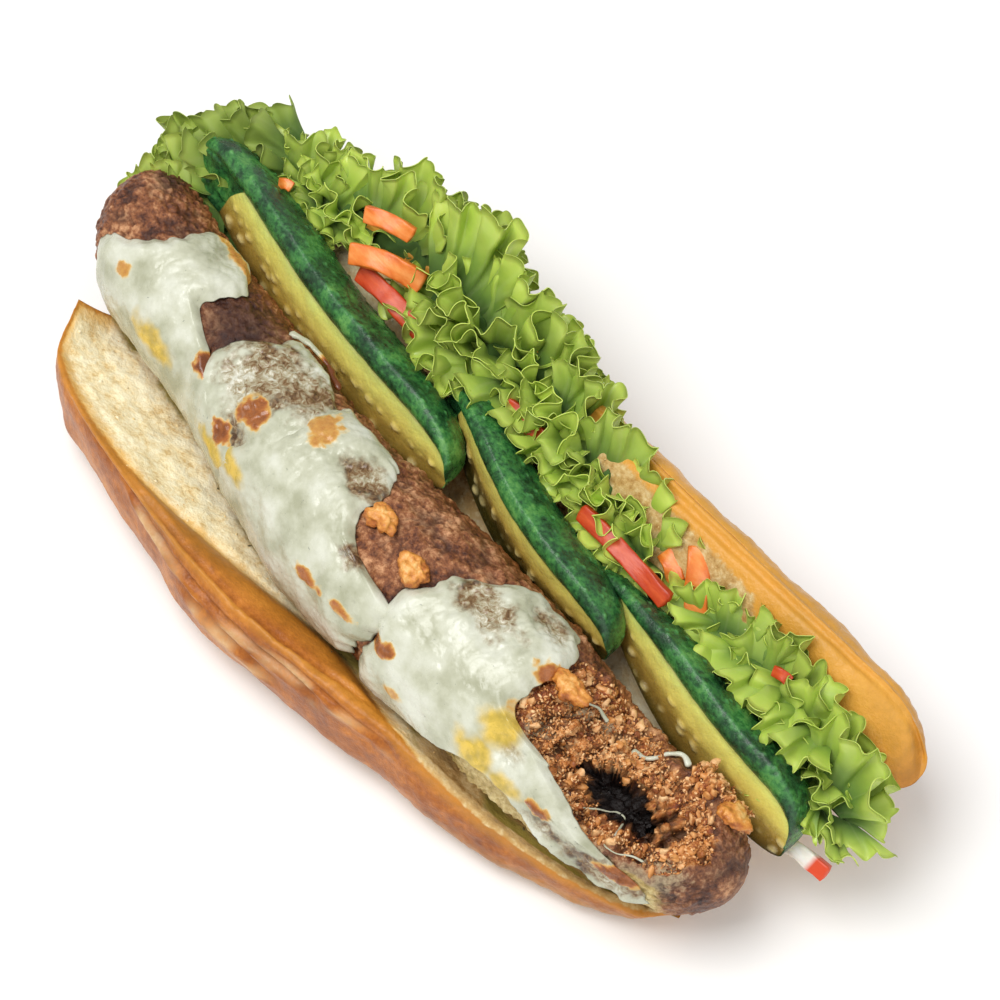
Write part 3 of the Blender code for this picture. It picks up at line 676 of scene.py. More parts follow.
# ---- the cheese threads ----
# Strings that the cheese drew out over the torn meat as it cooled, and one thick curl by the first cucumber
# spear whose end is toasted. Each is a thin round string, thinner in its middle.
# a thread: rows of x, angle round the meat and height over it, then its half thickness and how toasted it is
THREADS = (
    ("cheese_thread_1", ((80, -47, 0.6), (84, -52, 1.4), (88, -53, 1.2), (92, -50, 0.2)), 0.8, 0.0),
    ("cheese_thread_2", ((79, 57, 0.2), (84, 54, 0.9), (89, 52, 0.8), (94, 53, 0.2)), 0.34, 0.0),
    ("cheese_thread_3", ((90, 62, 0.4), (94, 57, 0.9), (98, 54, 0.8), (102, 50, 0.2)), 0.28, 0.0),
    ("cheese_thread_4", ((63, -18, 0.6), (66, -25, 1.0), (69, -33, 0.8), (72, -36, 0)), 0.5, 0.0),
    ("toasted_cheese_curl", ((-61, -46, 0.8), (-54, -53, 2.4), (-47, -56, 2.2), (-39, -52, 1.0)), 1.0, 1.0),
)


def path_frame(path, hint):
    """The two directions across a path: sideways, at right angles to the hint, and outwards."""
    ahead = np.gradient(path, axis=0)
    side = np.cross(ahead, hint)
    side /= np.linalg.norm(side, axis=1, keepdims=True)
    out = np.cross(side, ahead)
    out /= np.linalg.norm(out, axis=1, keepdims=True)
    return side[:, None], out[:, None]


def build_thread(name, rows, thick, toasted, finish):
    """A string as rings along a smooth line over the meat."""
    part = np.linspace(0, 1, 60)
    x, angle, lift = np.array(rows, float).T
    sunk = meat_radius(x, angle) * tear_depth(x, angle)
    stations = np.stack([np.linspace(0, 1, len(rows)), x, angle, lift - sunk], -1)
    path = meat_point(*follow(stations, part))
    path += 0.5 * drift(path, 3.4, 2.2, 5.1, 8.3)
    side, out = path_frame(path, (0.2, 0.1, 0.97))
    size = thick * (0.62 + 0.5 * (2 * part - 1)**2 + 0.25 * bumps(path, 2.0, 1.1))
    size *= np.sqrt(np.clip(np.minimum(part, 1 - part) / 0.03, 0.06, 1))
    turn = (np.arange(14) / 14 * 2 * np.pi)[:, None]
    points = path[:, None] + (side * np.cos(turn) + out * (0.7 * np.sin(turn))) * size[:, None, None]
    toast = ease((part - 0.4) / 0.25)[:, None] * toasted + 0 * points[..., 0]
    return close_rings(name, points, finish, {"toast": toast, "thin": 0 * toast, "stain": 0 * toast})


for row in THREADS:
    thread = build_thread(*row, cheese_finish)
    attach(thread, "root")

# ---- the toasted lumps ----
# Blisters of cheese that rose and crisped in the heat, full of small bubbles and stuck fast where they
# formed.
# Their colour has painted shade, brown towards the rim, and a painted highlight, pale orange on top.
# a lump: name, x, angle round the meat, half length, half width and how far it is lifted
LUMPS = (("toasted_lump_1", 2.5, 2, 4.5, 3.4, 0.2), ("toasted_lump_2", 18, 11, 4.6, 3.6, 0.2),
         ("toasted_lump_3", 63.5, -12, 5.4, 3.2, 0.0), ("toasted_lump_4", 108, -36, 4.4, 3.8, 1.6))


def toasted_cheese():
    """Cheese fried crisp in its own fat: glossy orange, painted lighter on top and brown towards its base as
    shade.
    """
    finish, add, shader, where, mark = new_finish("toasted_cheese_crust", "high")
    fleck = add("TexNoise", Vector=where, Scale=480.0, Detail=5.0, Roughness=0.65)
    # painted light and shade: the higher on the lump, the lighter its colour
    tone = add("Math", operation="MULTIPLY_ADD", i0=fleck, i1=1.1, i2=mark["high"])
    plug(shader, Roughness=0.34, Normal=add("Bump", Height=fleck, Strength=0.5, Distance=0.0008),
         Base_Color=add("ValToRGB", Fac=tone, stops=((0.4, "7E441C"), (0.58, "B4672A"), (0.78, "DC9440"),
                                                     (0.98, "F2C076"))))
    return finish


def build_lump(name, x, angle, half_long, half_wide, lift, finish):
    """A lump as rings that rise from the cheese to a rounded, uneven top."""
    low, middle, high = (meat_point(np.array(x), np.array(float(angle)), height)
                         for height in (0.0, CHEESE_CLEARANCE + CHEESE_THICK * 0.6 + lift, 10.0))
    away = (high - low) / np.linalg.norm(high - low)
    side = np.cross(away, (1, 0, 0))
    side /= np.linalg.norm(side)
    rise, turn = np.meshgrid(np.linspace(0.02, 1, 16), np.arange(48) / 48 * 2 * np.pi, indexing="ij")
    width = np.cos(rise * np.pi / 2)**0.5 * (1 + 0.08 * np.sin(3 * turn + x))
    width = np.where(rise > 0.97, 0.12, width)
    points = middle + (away * (2.9 * np.sin(rise * np.pi / 2) - 0.9)[..., None]
                       + np.cross(side, away) * (half_long * width * np.cos(turn))[..., None]
                       + side * (half_wide * width * np.sin(turn))[..., None])
    points += (points - middle) * uneven(points, (0.3, 3.2, 4.4), (0.3, 1.3, 1.6))[..., None]
    # the high mark grows towards the top, where the finish paints the lump lighter
    return close_rings(name + "_crisp", points, finish, {"high": 0.3 * rise})


lump_finish = toasted_cheese()
for row in LUMPS:
    lump = build_lump(*row, lump_finish)
    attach(lump, "root")
    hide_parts(row[0])

# ---- the cucumber ----
# Three lengthwise wedges of a pickled cucumber. Each has a thin, dark, bumpy skin, pale firm flesh under it,
# and a wet, see-through core full of flat seeds along its inner edge.
# a spear: name, start, middle and end of its core edge, radius, the turn of its upper cut face and its wedge
# in degrees, and how late along it is thickest (1 is in its middle)
SPEARS = (
    ("cucumber_spear_1", (-122, 18, 38), (-60, 6.4, 33), (-4, 6.8, 36), 19.0, 64, 72, 1.0),
    ("cucumber_spear_2", (-21, 22, 38), (18, 7.8, 35), (57, 7.4, 36), 16.4, 74, 72, 1.0),
    ("cucumber_spear_3", (37, 20.5, 38), (78, 8.6, 32), (118, 9.5, 27), 18.0, 62, 72, 1.9),
)
SPEAR_BLUNT = 3.6
SPEAR_SWELL = 0.42
# how far the skin wraps over the cut face at either end
SKIN_ENDS = {"cucumber_spear_1": (15.0, 1.5), "cucumber_spear_2": (5.0, 1.5), "cucumber_spear_3": (1.5, 1.5)}
SKIN_START = 0.74               # where the skin starts on the upper face, as a share of the way out
# how much painted shade darkens the flesh towards each spear's core
SOAKED = {"cucumber_spear_1": 0.05, "cucumber_spear_2": 0.4, "cucumber_spear_3": 0.13}
CORE_DROP = 0.4                 # how far the core edge hangs below the middle of the skin's arc, in radii


def spear_core(spear, part):
    """The core edge of a spear at places along it, and its radius there."""
    start, middle, end = (np.array(point, float) for point in spear[1:4])
    bend = middle * 2 - (start + end) / 2
    part = np.asarray(part, float)[..., None]
    core = blend(blend(start, bend, part), blend(bend, end, part), part)
    full = np.maximum(1 - np.abs(2 * part[..., 0]**spear[7] - 1)**SPEAR_BLUNT, 0.004)
    return core, spear[4] * full**SPEAR_SWELL


def pickled_cucumber():
    """Pickled cucumber: wet dark green skin with paler bumps, yellow-green flesh and an olive core."""
    finish, add, shader, where, mark = new_finish("pickled_cucumber", "rind", "depth", "seed", "wart")
    patch = add("TexNoise", Vector=where, Scale=120.0, Detail=3.0, Roughness=0.55)
    fleck = add("TexNoise", Vector=where, Scale=700.0, Detail=4.0, Roughness=0.7)
    skin = add("ValToRGB", Fac=weighed(add, patch, 0.6, fleck, 0.4),
               stops=((0.38, "12301A"), (0.47, "22502A"), (0.55, "3A7A3A"), (0.66, "6AA452")))
    skin = lay_over(add, skin, "5FA35A", mark["wart"])
    # the flesh from the core, where its mark is 0, out to the skin, darker at the core: its own olive and
    # painted shade
    flesh = add("ValToRGB", Fac=weighed(add, patch, 0.26, mark["depth"], 0.84),
                stops=((0.0, "37300F"), (0.2, "84692C"), (0.36, "BFA048"), (0.54, "E0CC64"), (0.74, "ECE676"),
                       (0.88, "E6F084"), (0.98, "EEF5A4")))
    flesh = lay_over(add, flesh, "E2D08E", mark["seed"])
    plug(shader, Base_Color=lay_over(add, flesh, skin, (mark["rind"], fleck, 0.3, 0.55, 0.75)),
         Roughness=add("MapRange", i0=fleck, i1=0.35, i2=0.65, i3=0.2, i4=0.4),
         Normal=add("Bump", Height=fleck, Strength=0.4, Distance=0.0008), Specular_IOR_Level=0.5,
         Subsurface_Weight=0.12, Subsurface_Radius=(0.002, 0.002, 0.0008))
    return finish


def build_spear(spear, finish):
    """A spear through rings: out along one cut face, round the skin and back along the other."""
    name, face_angle, wedge = spear[0], spear[5], spear[6]
    face_points, skin_points = 34, 64
    part = 0.5 - 0.5 * np.cos(np.pi * np.linspace(0, 1, 250))
    core, size = spear_core(spear, part)
    share = np.linspace(0.0, 0.985, face_points)
    reach = np.concatenate([share, np.ones(skin_points), share[::-1]])
    turn = np.concatenate([np.full(face_points, 0.0), np.linspace(0.012, 0.988, skin_points),
                           np.full(face_points, 1.0)])
    angle = np.radians(face_angle - wedge * turn)
    ring = np.stack([0 * angle, np.cos(angle), np.sin(angle)], -1)
    section = ring * reach[:, None] - np.array((0, 0, CORE_DROP)) * (1 - reach)[:, None]
    points = core[:, None] + section[None] * size[:, None, None]
    out = ring[None] + 0 * points
    rind = np.concatenate([ease((np.linspace(0, 1, face_points) - SKIN_START) / 0.04), np.ones(skin_points),
                           ease((np.linspace(1, 0, face_points) - 0.95) / 0.05)])[None] + 0 * points[..., 0]
    depth = np.minimum(reach / SKIN_START, 1.0)[None] + 0 * rind
    near, _ = grains(points * (0.8, 1, 1), 2.6, 3.3)
    wart = rind * ease((0.3 - near) / 0.25)
    points += out * (rind * (0.4 * wart + uneven(points, (0.5, 9, 2.1), (0.15, 2, 5.5))))[..., None]
    # the cut faces: a slight hollow along the core, and seeds that stand up in it
    on_face = (1 - rind) * (reach[None] < 0.98)
    over = np.clip((reach - SKIN_START + 0.03) / (1 - SKIN_START + 0.03), 0, 1)
    over = np.sin(np.pi * over) * (turn < 0.005)
    normal = np.cross(ring, (1, 0, 0)) * np.where(turn < 0.5, -1, 1)[:, None]
    seedy = on_face * ease((0.6 - depth) / 0.12) * ease((depth - 0.04) / 0.08)
    close, _ = grains(points * (0.6, 1, 1), 2.9, 6.4)
    seed = seedy * ease((0.44 - close) / 0.22) * ease((bumps(points, 8, 3.7) + 0.45) / 0.4)
    hollow = -0.8 * ease((0.62 - depth) / 0.35) + 0.25 * bumps(points, 3.5, 8.1)
    hollow *= on_face * ease((depth - 0.03) / 0.2)
    points += normal[None] * ((hollow + 0.8 * seed + 1.5 * over) * ease(size / 6)[:, None])[..., None]
    for wrapped, from_end in zip(SKIN_ENDS[name], (core[:, 0] - core[0, 0], core[-1, 0] - core[:, 0])):
        slanted = wrapped * (1 + 0.55 * depth**2) - from_end[:, None]
        rind = np.maximum(rind, ease(slanted / 1.5))
        bulge = 1.5 * on_face * ease((wrapped - from_end) / 6)[:, None] * (wrapped > 3)
        points += normal[None] * bulge[..., None]
    # the flesh mark is lowered towards the core by each spear's painted core shade
    return close_rings(name + "_pickled", points, finish, {
        "rind": rind, "depth": depth - SOAKED[name] * (1 - 0.55 * depth), "seed": 0.7 * seed,
        "wart": 0.6 * wart})


cucumber_finish = pickled_cucumber()
for spear in SPEARS:
    wedge = build_spear(spear, cucumber_finish)
    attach(wedge, "root")
    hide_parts(spear[0])

# ---- the strips ----
# Carrot, red pepper and white radish cut into flat strips with a peeler's blade, so that their edges are
# sharp and their faces moist. They lie loose between the cucumber and the lettuce.
# a strip: name, start, end, how far it arches, width, thickness, which root or fruit it is cut from
STRIPS = (
    ("carrot_strip_1", (-65, 25.5, 50), (-46, 34, 50), 2.2, 5.6, 2.6, "carrot"),
    ("carrot_strip_2", (-68, 33, 57), (-55, 38, 57), 1.0, 4.5, 2.4, "carrot"),
    ("carrot_strip_3", (52, 40.5, 45.6), (62, 30.5, 37.5), 1.2, 6.0, 2.6, "carrot"),
    ("carrot_strip_4", (46, 35, 40.5), (53, 32.6, 38.6), 0.6, 4.6, 2.4, "carrot"),
    ("pepper_strip_1", (-62, 26, 45), (-34, 27, 43.2), 1.5, 5.0, 2.6, "pepper"),
    ("pepper_strip_2", (26, 25, 44.5), (58, 25, 44), 0.8, 4.6, 2.4, "pepper"),
    ("pepper_strip_3", (-8, 29, 46.5), (6, 30.4, 45), 0.8, 4.6, 2.4, "pepper"),
    ("radish_strip_1", (107, 12, 21.5), (127, 16, 21.5), 0.6, 4.2, 2.6, "radish"),
)
# the colours of what the strips are cut from: deep, middle and pale, and the record's slot
CUTS = {"carrot": ("CC5E18", "E37A2A", "F09A50", "carrot"),
        "pepper": ("9E2C0C", "C23F14", "D85A28", "red_pepper"),
        "radish": ("D9CDBE", "EFE8DC", "FBF8F2", "white_radish")}


def cut_vegetable(kind, deep, middle, pale):
    """A freshly cut root or fruit: even colour with fine fibres along it and a moist, soft shine."""
    finish, add, shader, where, mark = new_finish("cut_" + kind, "core")
    stretched = add("Mapping", Vector=where, Scale=(0.3, 1.0, 1.0))
    fibre = add("TexNoise", Vector=stretched, Scale=620.0, Detail=4.0, Roughness=0.6)
    tone = add("Math", operation="MULTIPLY_ADD", i0=mark["core"], i1=0.35, i2=fibre)
    colour = add("ValToRGB", Fac=tone, stops=((0.32, deep), (0.6, middle), (0.95, pale)))
    if kind == "radish":
        # its far end still has its red skin
        red = add("MapRange", i0=add("SeparateXYZ", "X", i0=where), i1=0.122, i2=0.1235)
        colour = lay_over(add, colour, "DA4A24", red)
    plug(shader, Base_Color=colour, Normal=add("Bump", Height=fibre, Strength=0.3, Distance=0.0006),
         Roughness=0.36, Subsurface_Weight=0.15, Subsurface_Radius=(0.003, 0.0015, 0.0008))
    return finish


def build_strip(name, start, end, arch, width, thick, finish):
    """A strip as rings of a flat section with small rounded corners, slightly twisted along its arch."""
    part = np.linspace(0, 1, 46)
    path = blend(np.array(start, float), np.array(end, float), part[:, None])
    path[:, 2] += arch * np.sin(np.pi * part)
    side, out = path_frame(path, (0.3, -0.5, 0.81))
    turn = np.arange(32) / 32 * 2 * np.pi
    # a section between a rectangle and an oval keeps the cut corners crisp
    wide, deep = (np.sign(wave) * np.abs(wave)**0.28 * size / 2
                  for wave, size in ((np.cos(turn), width), (np.sin(turn), thick)))
    twist = (0.25 * np.sin(2.2 * part * np.pi + width))[:, None]
    ends = np.sqrt(np.clip(np.minimum(part, 1 - part) / 0.012, 0.2, 1))[:, None]
    across = (wide * np.cos(twist) - deep * np.sin(twist)) * ends
    up = (wide * np.sin(twist) + deep * np.cos(twist)) * ends
    points = path[:, None] + side * across[..., None] + out * up[..., None]
    points += 0.22 * drift(points, 3.5, 1.2, 4.5, 7.8)
    core = 1 - np.abs(wide)[None] / (width / 2) + 0 * across
    return close_rings(name + "_cut", points, finish, {"core": core})


cut_finishes = {kind: cut_vegetable(kind, *row[:3]) for kind, row in CUTS.items()}
for name, start, end, arch, width, thick, kind in STRIPS:
    cut = build_strip(name, start, end, arch, width, thick, cut_finishes[kind])
    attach(cut, "root")
    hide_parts(name)

# ---- the lettuce ----
# Curly leaf lettuce, torn by hand. Each leaf is a thin crisp sheet whose edge grew faster than its middle, so
# it is gathered into deep frills: with painted shade towards its root and under other leaves, bright
# yellow-green and toothed at its edge.
LEAF_THICK = 0.26
LEAF_STEPS = (134, 13)          # points of a leaf's grid, along its edge and out to it
# the line the leaves of a bunch grow from: x, y, z, then the y that they reach to the front and to the back
BUNCHES = {
    "lettuce_bunch_1": ((-116, 30, 35, 24, 38), (-98, 33, 39, 29, 44), (-82, 37, 43, 27, 50),
                        (-70, 41, 46, 33, 55), (-56, 42, 47, 35, 60), (-46, 41, 47, 27, 60),
                        (-34, 40, 47, 19, 57), (-21, 40, 47, 19, 55), (-7, 40, 47, 24, 53),
                        (4, 39, 46, 22, 51), (20, 37, 45, 22, 49), (36, 34, 43, 22, 47),
                        (46, 32, 41, 26, 42)),
    "lettuce_bunch_2": ((64, 31, 37, 26, 42), (82, 31, 38, 20, 43), (100, 29, 38, 15, 43),
                        (112, 26, 36, 17, 41), (120, 23, 33, 15, 35)),
}
# the rows of leaves of a bunch: where they grow from as a share of the way to the front, lift, lean and curl
# in degrees (forward positive), share of the reach, spacing
LEAF_ROWS = {"draped": (-0.15, -6, -92, -40, 0.5, 12.0), "outer": (-0.1, -8, -58, 4, 1.0, 11.5),
             "crown": (0.05, -5, -38, 8, 0.8, 12.0), "middle": (0.1, -6, 4, 18, 0.55, 10.0),
             "inner": (0.15, -5, 34, 26, 0.66, 12.0), "front": (0.2, -5, 64, 18, 1.0, 10.0)}
# the leaves that reach out past the far end: root, yaw, lean, curl, width, height
END_LEAVES = (((-99, 13, 23), -92, 76, -22, 22, 34), ((-103, 4, 26), -104, 70, -12, 24, 27),
              ((-105, 22, 27), -84, 74, -26, 28, 29), ((-106, 33, 32), -66, 62, -10, 28, 22),
              ((-113, 10, 29), -98, 52, 8, 26, 20), ((-110, 27, 31), -78, 52, 4, 26, 21),
              ((-103, 39, 36), -42, 58, -5, 28, 16), ((-116, 2, 29), -112, 44, 14, 18, 14),
              ((-117, 18, 30), -92, 40, 16, 22, 16))
# broad leaves laid over the second bunch, given in the same way
BROAD_LEAVES = (((70, 34, 37), -14, 60, 18, 30, 15), ((84, 35, 38), 6, 54, 20, 32, 17),
                ((99, 35, 38), -8, 56, 22, 28, 16), ((76, 32, 38), 6, -40, -12, 32, 12))


def crisp_leaf():
    """A lettuce leaf: waxy, thin enough to glow where light comes through, with fine veins and pale ribs."""
    finish, add, shader, where, mark = new_finish("curly_leaf_lettuce", "tip", "vein", "shade")
    patch = add("TexNoise", Vector=where, Scale=130.0, Detail=3.0, Roughness=0.55)
    colour = add("ValToRGB", Fac=weighed(add, patch, 0.5, mark["tip"], 0.62),
                 stops=((0.16, "4E7429"), (0.4, "8AAF42"), (0.66, "BAD555"), (0.94, "D2E26C")))
    for name, tint, most in (("vein", "DCE8A0", 0.3), ("shade", "3C5A26", 0.8)):
        colour = lay_over(add, colour, tint, add("Math", operation="MULTIPLY", i0=mark[name], i1=most))
    plug(shader, Base_Color=colour, Normal=add("Bump", Height=patch, Strength=0.25, Distance=0.0012),
         Roughness=add("MapRange", i0=mark["shade"], i1=0.2, i2=0.9, i3=0.34, i4=0.85),
         Subsurface_Weight=0.25, Subsurface_Radius=(0.0012, 0.0018, 0.0004))
    return finish


def frilled_leaf(root, yaw, lean, curl, width, height, seed):
    """The middle surface of one leaf as a grid, how far out each point is, and its veins.

    It grows from its root, leans and curls (in degrees, forward positive), frills towards its edge and ends
    in small round lobes with sharp notches between them.
    """
    u, v = np.meshgrid(*(np.linspace(0, 1, steps) for steps in LEAF_STEPS), indexing="ij")
    along = (u - 0.5) * width
    lean, curl, yaw = np.radians(lean), np.radians(curl), np.radians(yaw)
    run = np.array((np.cos(yaw), np.sin(yaw), 0))
    front = np.array((np.sin(yaw), -np.cos(yaw), 0))
    up = np.array((0, 0, 1.0))
    line = np.stack([along, 0 * v, 0 * v + 31 * seed], -1)
    lobes = 1 + 0.24 * bumps(line, 11, seed) + 0.14 * bumps(line, 5, seed + 3)
    notches = np.abs(np.sin(np.pi * along / 2.6 + 2.6 * bumps(line, 6, seed + 5)))**0.7
    reach = height * np.sin(np.pi * (0.07 + 0.86 * u))**0.45 * lobes
    path = reach * v + 1.3 * (notches - 0.6) * v**7
    turn = lean + curl * v
    rise = up * np.cos(turn)[..., None] + front * np.sin(turn)[..., None]
    face = front * np.cos(turn)[..., None] - up * np.sin(turn)[..., None]
    # the leaf's own curve, from its root out
    middle = lean + curl * v / 2
    grid = (np.array(root, float) + run * (along * (0.55 + 0.6 * v))[..., None]
            + (up * np.cos(middle)[..., None] + front * np.sin(middle)[..., None]) * path[..., None])
    phase = 2 * np.pi * along / 9.5 + 3.2 * bumps(line, 13, seed + 8) + 0.9 * v
    frill = (0.07 * height + 1.9) * v**1.5 * (1 + 0.5 * bumps(line, 10, seed + 4))
    grid += face * (frill * np.sin(phase))[..., None]
    grid -= run * (0.42 * frill * np.sin(2 * phase))[..., None]
    small = 2.8 * phase + 3 * bumps(line, 7, seed + 11)
    crimp = 0.85 * v**3
    grid += face * (crimp * np.sin(small))[..., None]
    grid += rise * (0.5 * crimp * np.cos(small))[..., None]
    wave = drift(grid, 8, seed + 2, seed + 6, seed + 9)
    grid = grid + 1.5 * wave * v[..., None] + face * (0.55 * bumps(grid, 3.2, seed + 1) * v)[..., None]
    ribs = np.abs(bumps(np.stack([along, 0.25 * path, 0 * u], -1), 3.4, seed))
    return grid, v, ease((0.16 - ribs) / 0.16) * (1 - 0.7 * v)


def thin_sheet(grid, thick):
    """The points and quads of a closed sheet of that thickness over a grid."""
    rows, columns = grid.shape[:2]
    half = facing(grid) * (thick / 2)
    points = np.concatenate([(grid + half).reshape(-1, 3), (grid - half).reshape(-1, 3)])
    top = lattice(rows, columns)
    count = rows * columns
    place = np.arange(count).reshape(rows, columns)
    rim = np.concatenate([place[:-1, 0], place[-1, :-1], place[:0:-1, -1], place[0, :0:-1]])
    after = np.roll(rim, -1)
    edge = np.stack([rim, rim + count, after + count, after], -1)
    return points, np.concatenate([top, top[:, ::-1] + count, edge[:, ::-1]])


def build_core(name, rows, finish):
    """The packed, shaded inside of a bunch: a folded mound that lies well under its outline."""
    first, last = rows[0][0] + 2, rows[-1][0] - 2
    u, v = np.meshgrid(np.linspace(0, 1, int((last - first) * 1.1)), np.linspace(0, 1, 34), indexing="ij")
    x = blend(first, last, u)
    y0, z0, front, back = follow(rows, x)
    full = np.sqrt(np.maximum(1 - np.abs(2 * u - 1)**4, 0.0))
    y = y0 + np.where(v < 0.5, (front - y0) * (0.2 + 0.34 * full), (back - y0) * 0.12) * np.abs(2 * v - 1)
    dome = np.sqrt(np.maximum(1 - (2 * v - 1)**2, 0)) * full
    fold = np.stack([x, y * 0.5, 0 * x], -1)
    lower = np.stack([x, y, z0 - 9 - 2 * dome], -1)
    upper = np.stack([x, y, z0 - 9 + (6 + uneven(fold, (7, 6, 2.8), (5, 2.5, 5.1))) * dome], -1)
    none = np.zeros_like(u)
    return close_skins(name + "_core", upper, lower, finish, {
        "tip": (none, none), "vein": (none, none), "shade": (none + 1, none + 1)})


def grow_leaves(rows, leaf_row, seed):
    """The leaves of one row of a bunch: root, yaw, lean, curl, width, height."""
    share, lift, lean, curl, reach, spacing = leaf_row
    spread = np.random.default_rng(seed)
    for x in np.arange(rows[0][0] + 4, rows[-1][0], spacing):
        x = x + spread.uniform(-3, 3)
        y0, z0, front, back = (float(value) for value in follow(rows, x))
        y = blend(y0, front, share)
        far = (back - y) if lean < 0 else (y - front)
        tilt = lean + spread.uniform(-9, 9)
        bend = curl + spread.uniform(-12, 12)
        slope = max(abs(math.sin(math.radians(tilt + bend / 2))), 0.6)
        height = max(reach * far / slope * spread.uniform(0.85, 1.1), 8.0)
        leaf = ((x, y, z0 + lift + spread.uniform(-1.5, 1.5)), spread.uniform(-24, 24), tilt, bend,
                spread.uniform(24, 34), height)
        # the strips at the far end lie clear of the leaves in front
        if not (lean > 0 and STRIPS[0][1][0] - 8 < x < STRIPS[0][2][0]):
            yield leaf


def join_leaves(name, leaves, finish, seed, dull=0.0):
    """Many leaves as one piece; the last argument adds painted shade to them all."""
    spread = np.random.default_rng(seed)
    points, quads, marks = [], [], {"tip": [], "vein": [], "shade": []}
    for leaf in leaves:
        grid, out, ribs = frilled_leaf(*leaf, spread.uniform(0, 90))
        sheet, faces = thin_sheet(grid, LEAF_THICK)
        quads.append(faces + sum(len(made) for made in points))
        points.append(sheet)
        # some leaves lie in the shade of others
        shade = dull + spread.uniform(-0.05, 0.3) + 1.05 * (1 - out)**1.2
        for mark, values in (("tip", out), ("vein", ribs), ("shade", np.clip(shade, 0, 1))):
            marks[mark].append(np.tile(values.ravel(), 2))
    return make_piece(name, np.concatenate(points), np.concatenate(quads), finish,
                      {mark: np.concatenate(values) for mark, values in marks.items()})


leaf_finish = crisp_leaf()
for seed, (name, rows) in enumerate(BUNCHES.items(), 41):
    parts = [build_core(name, rows, leaf_finish)]
    for extra, (place, leaf_row) in enumerate(LEAF_ROWS.items()):
        leaves = grow_leaves(rows, leaf_row, seed + 10 * extra)
        parts.append(join_leaves(f"{name}_{place}_leaves", leaves, leaf_finish, seed + extra))
    # the leaves past the far end get extra painted shade
    ends, dull = (END_LEAVES, 0.33) if name == "lettuce_bunch_1" else (BROAD_LEAVES, 0.0)
    parts.append(join_leaves(name + "_end_leaves", ends, leaf_finish, 17, dull))
    for part in parts:
        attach(part, "root")
        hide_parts(name)

# ---- the loose bits ----
# Shreds of torn mince, crumbs of bread, ground pepper and herb that fell where they lie, and small chips of
# the cut vegetables. The grains are scattered on the piece that they come from, each with a rough shape.


def scatter_tree():
    """The tree that lays rough grains on a piece where a mark on it is high."""
    tree = bpy.data.node_groups.new("scatter_grains", "GeometryNodeTree")
    for name, kind in (("Geometry", "Geometry"), ("Mark", "String"), ("Per square metre", "Float"),
                       ("Smallest", "Float"), ("Largest", "Float"), ("Stretch", "Float"), ("Rounds", "Int"),
                       ("Seed", "Int"), ("Finish", "Material")):
        tree.interface.new_socket(name=name, in_out="INPUT", socket_type="NodeSocket" + kind)
    tree.interface.new_socket(name="Geometry", in_out="OUTPUT", socket_type="NodeSocketGeometry")
    given = tree.nodes.new("NodeGroupInput").outputs
    seed = given["Seed"]
    marked = add_node(tree, "GeometryNodeInputNamedAttribute", data_type="FLOAT", i0=given["Mark"])
    density = add_node(tree, "ShaderNodeMath", operation="MULTIPLY", i0=marked, i1=given["Per square metre"])
    laid = add_node(tree, "GeometryNodeDistributePointsOnFaces", Mesh=given["Geometry"], Density=density,
                    Seed=seed)
    grain = add_node(tree, "GeometryNodeMeshIcoSphere", Radius=0.5, Subdivisions=given["Rounds"])
    turned = add_node(tree, "FunctionNodeRandomValue", data_type="FLOAT_VECTOR", i0=(0, 0, 0),
                      i1=(6.283, 6.283, 6.283), Seed=seed)
    size = add_node(tree, "FunctionNodeRandomValue", 1, data_type="FLOAT", i2=given["Smallest"],
                    i3=given["Largest"], Seed=seed)
    longer, flatter = (add_node(tree, "ShaderNodeMath", operation="MULTIPLY", i0=size, i1=factor)
                       for factor in (given["Stretch"], 0.62))
    placed = add_node(tree, "GeometryNodeInstanceOnPoints", Points=laid, Instance=grain, Rotation=turned,
                      Scale=add_node(tree, "ShaderNodeCombineXYZ", i0=longer, i1=size, i2=flatter))
    tone = add_node(tree, "FunctionNodeRandomValue", 1, data_type="FLOAT", i2=0.0, i3=1.0, Seed=seed)
    toned = add_node(tree, "GeometryNodeStoreNamedAttribute", data_type="FLOAT", domain="INSTANCE",
                     Geometry=placed, Name="tone", Value=tone)
    real = add_node(tree, "GeometryNodeRealizeInstances", Geometry=toned)
    # each grain is pushed out of shape by up to half of the largest size
    rough = add_node(tree, "ShaderNodeTexNoise", "Color", Scale=700.0, Detail=2.0)
    moved = add_node(tree, "ShaderNodeVectorMath", operation="SUBTRACT", i0=rough, i1=(0.5, 0.5, 0.5))
    moved = add_node(tree, "ShaderNodeVectorMath", operation="SCALE", i0=moved, Scale=given["Largest"])
    shaken = add_node(tree, "GeometryNodeSetPosition", Geometry=real, Offset=moved)
    done = add_node(tree, "GeometryNodeSetMaterial", Geometry=shaken, Material=given["Finish"])
    plug(tree.nodes.new("NodeGroupOutput"), Geometry=done)
    return tree


def scattered(name, ground, finish, **sizes):
    """The loose bits on one piece as a piece of their own."""
    holder = bpy.data.objects.new(name, ground.data)
    bpy.context.scene.collection.objects.link(holder)
    laying = holder.modifiers.new("grains", "NODES")
    laying.node_group = grain_tree
    values = {"Mark": sizes["mark"], "Per square metre": sizes["density"], "Smallest": sizes["small"] * MM,
              "Largest": sizes["large"] * MM, "Stretch": sizes["stretch"], "Rounds": sizes.get("rounds", 1),
              "Seed": sizes["seed"], "Finish": finish}
    for socket in grain_tree.interface.items_tree:
        if socket.in_out == "INPUT" and socket.name in values:
            laying[socket.identifier] = values[socket.name]
    bpy.context.view_layer.update()
    shown = holder.evaluated_get(bpy.context.evaluated_depsgraph_get())
    mesh = bpy.data.meshes.new_from_object(shown)
    bpy.data.objects.remove(holder, do_unlink=True)
    mesh.name = name
    mesh.materials.clear()
    mesh.materials.append(finish)
    mesh.shade_smooth()
    bits = bpy.data.objects.new(name, mesh)
    bpy.context.scene.collection.objects.link(bits)
    return bits


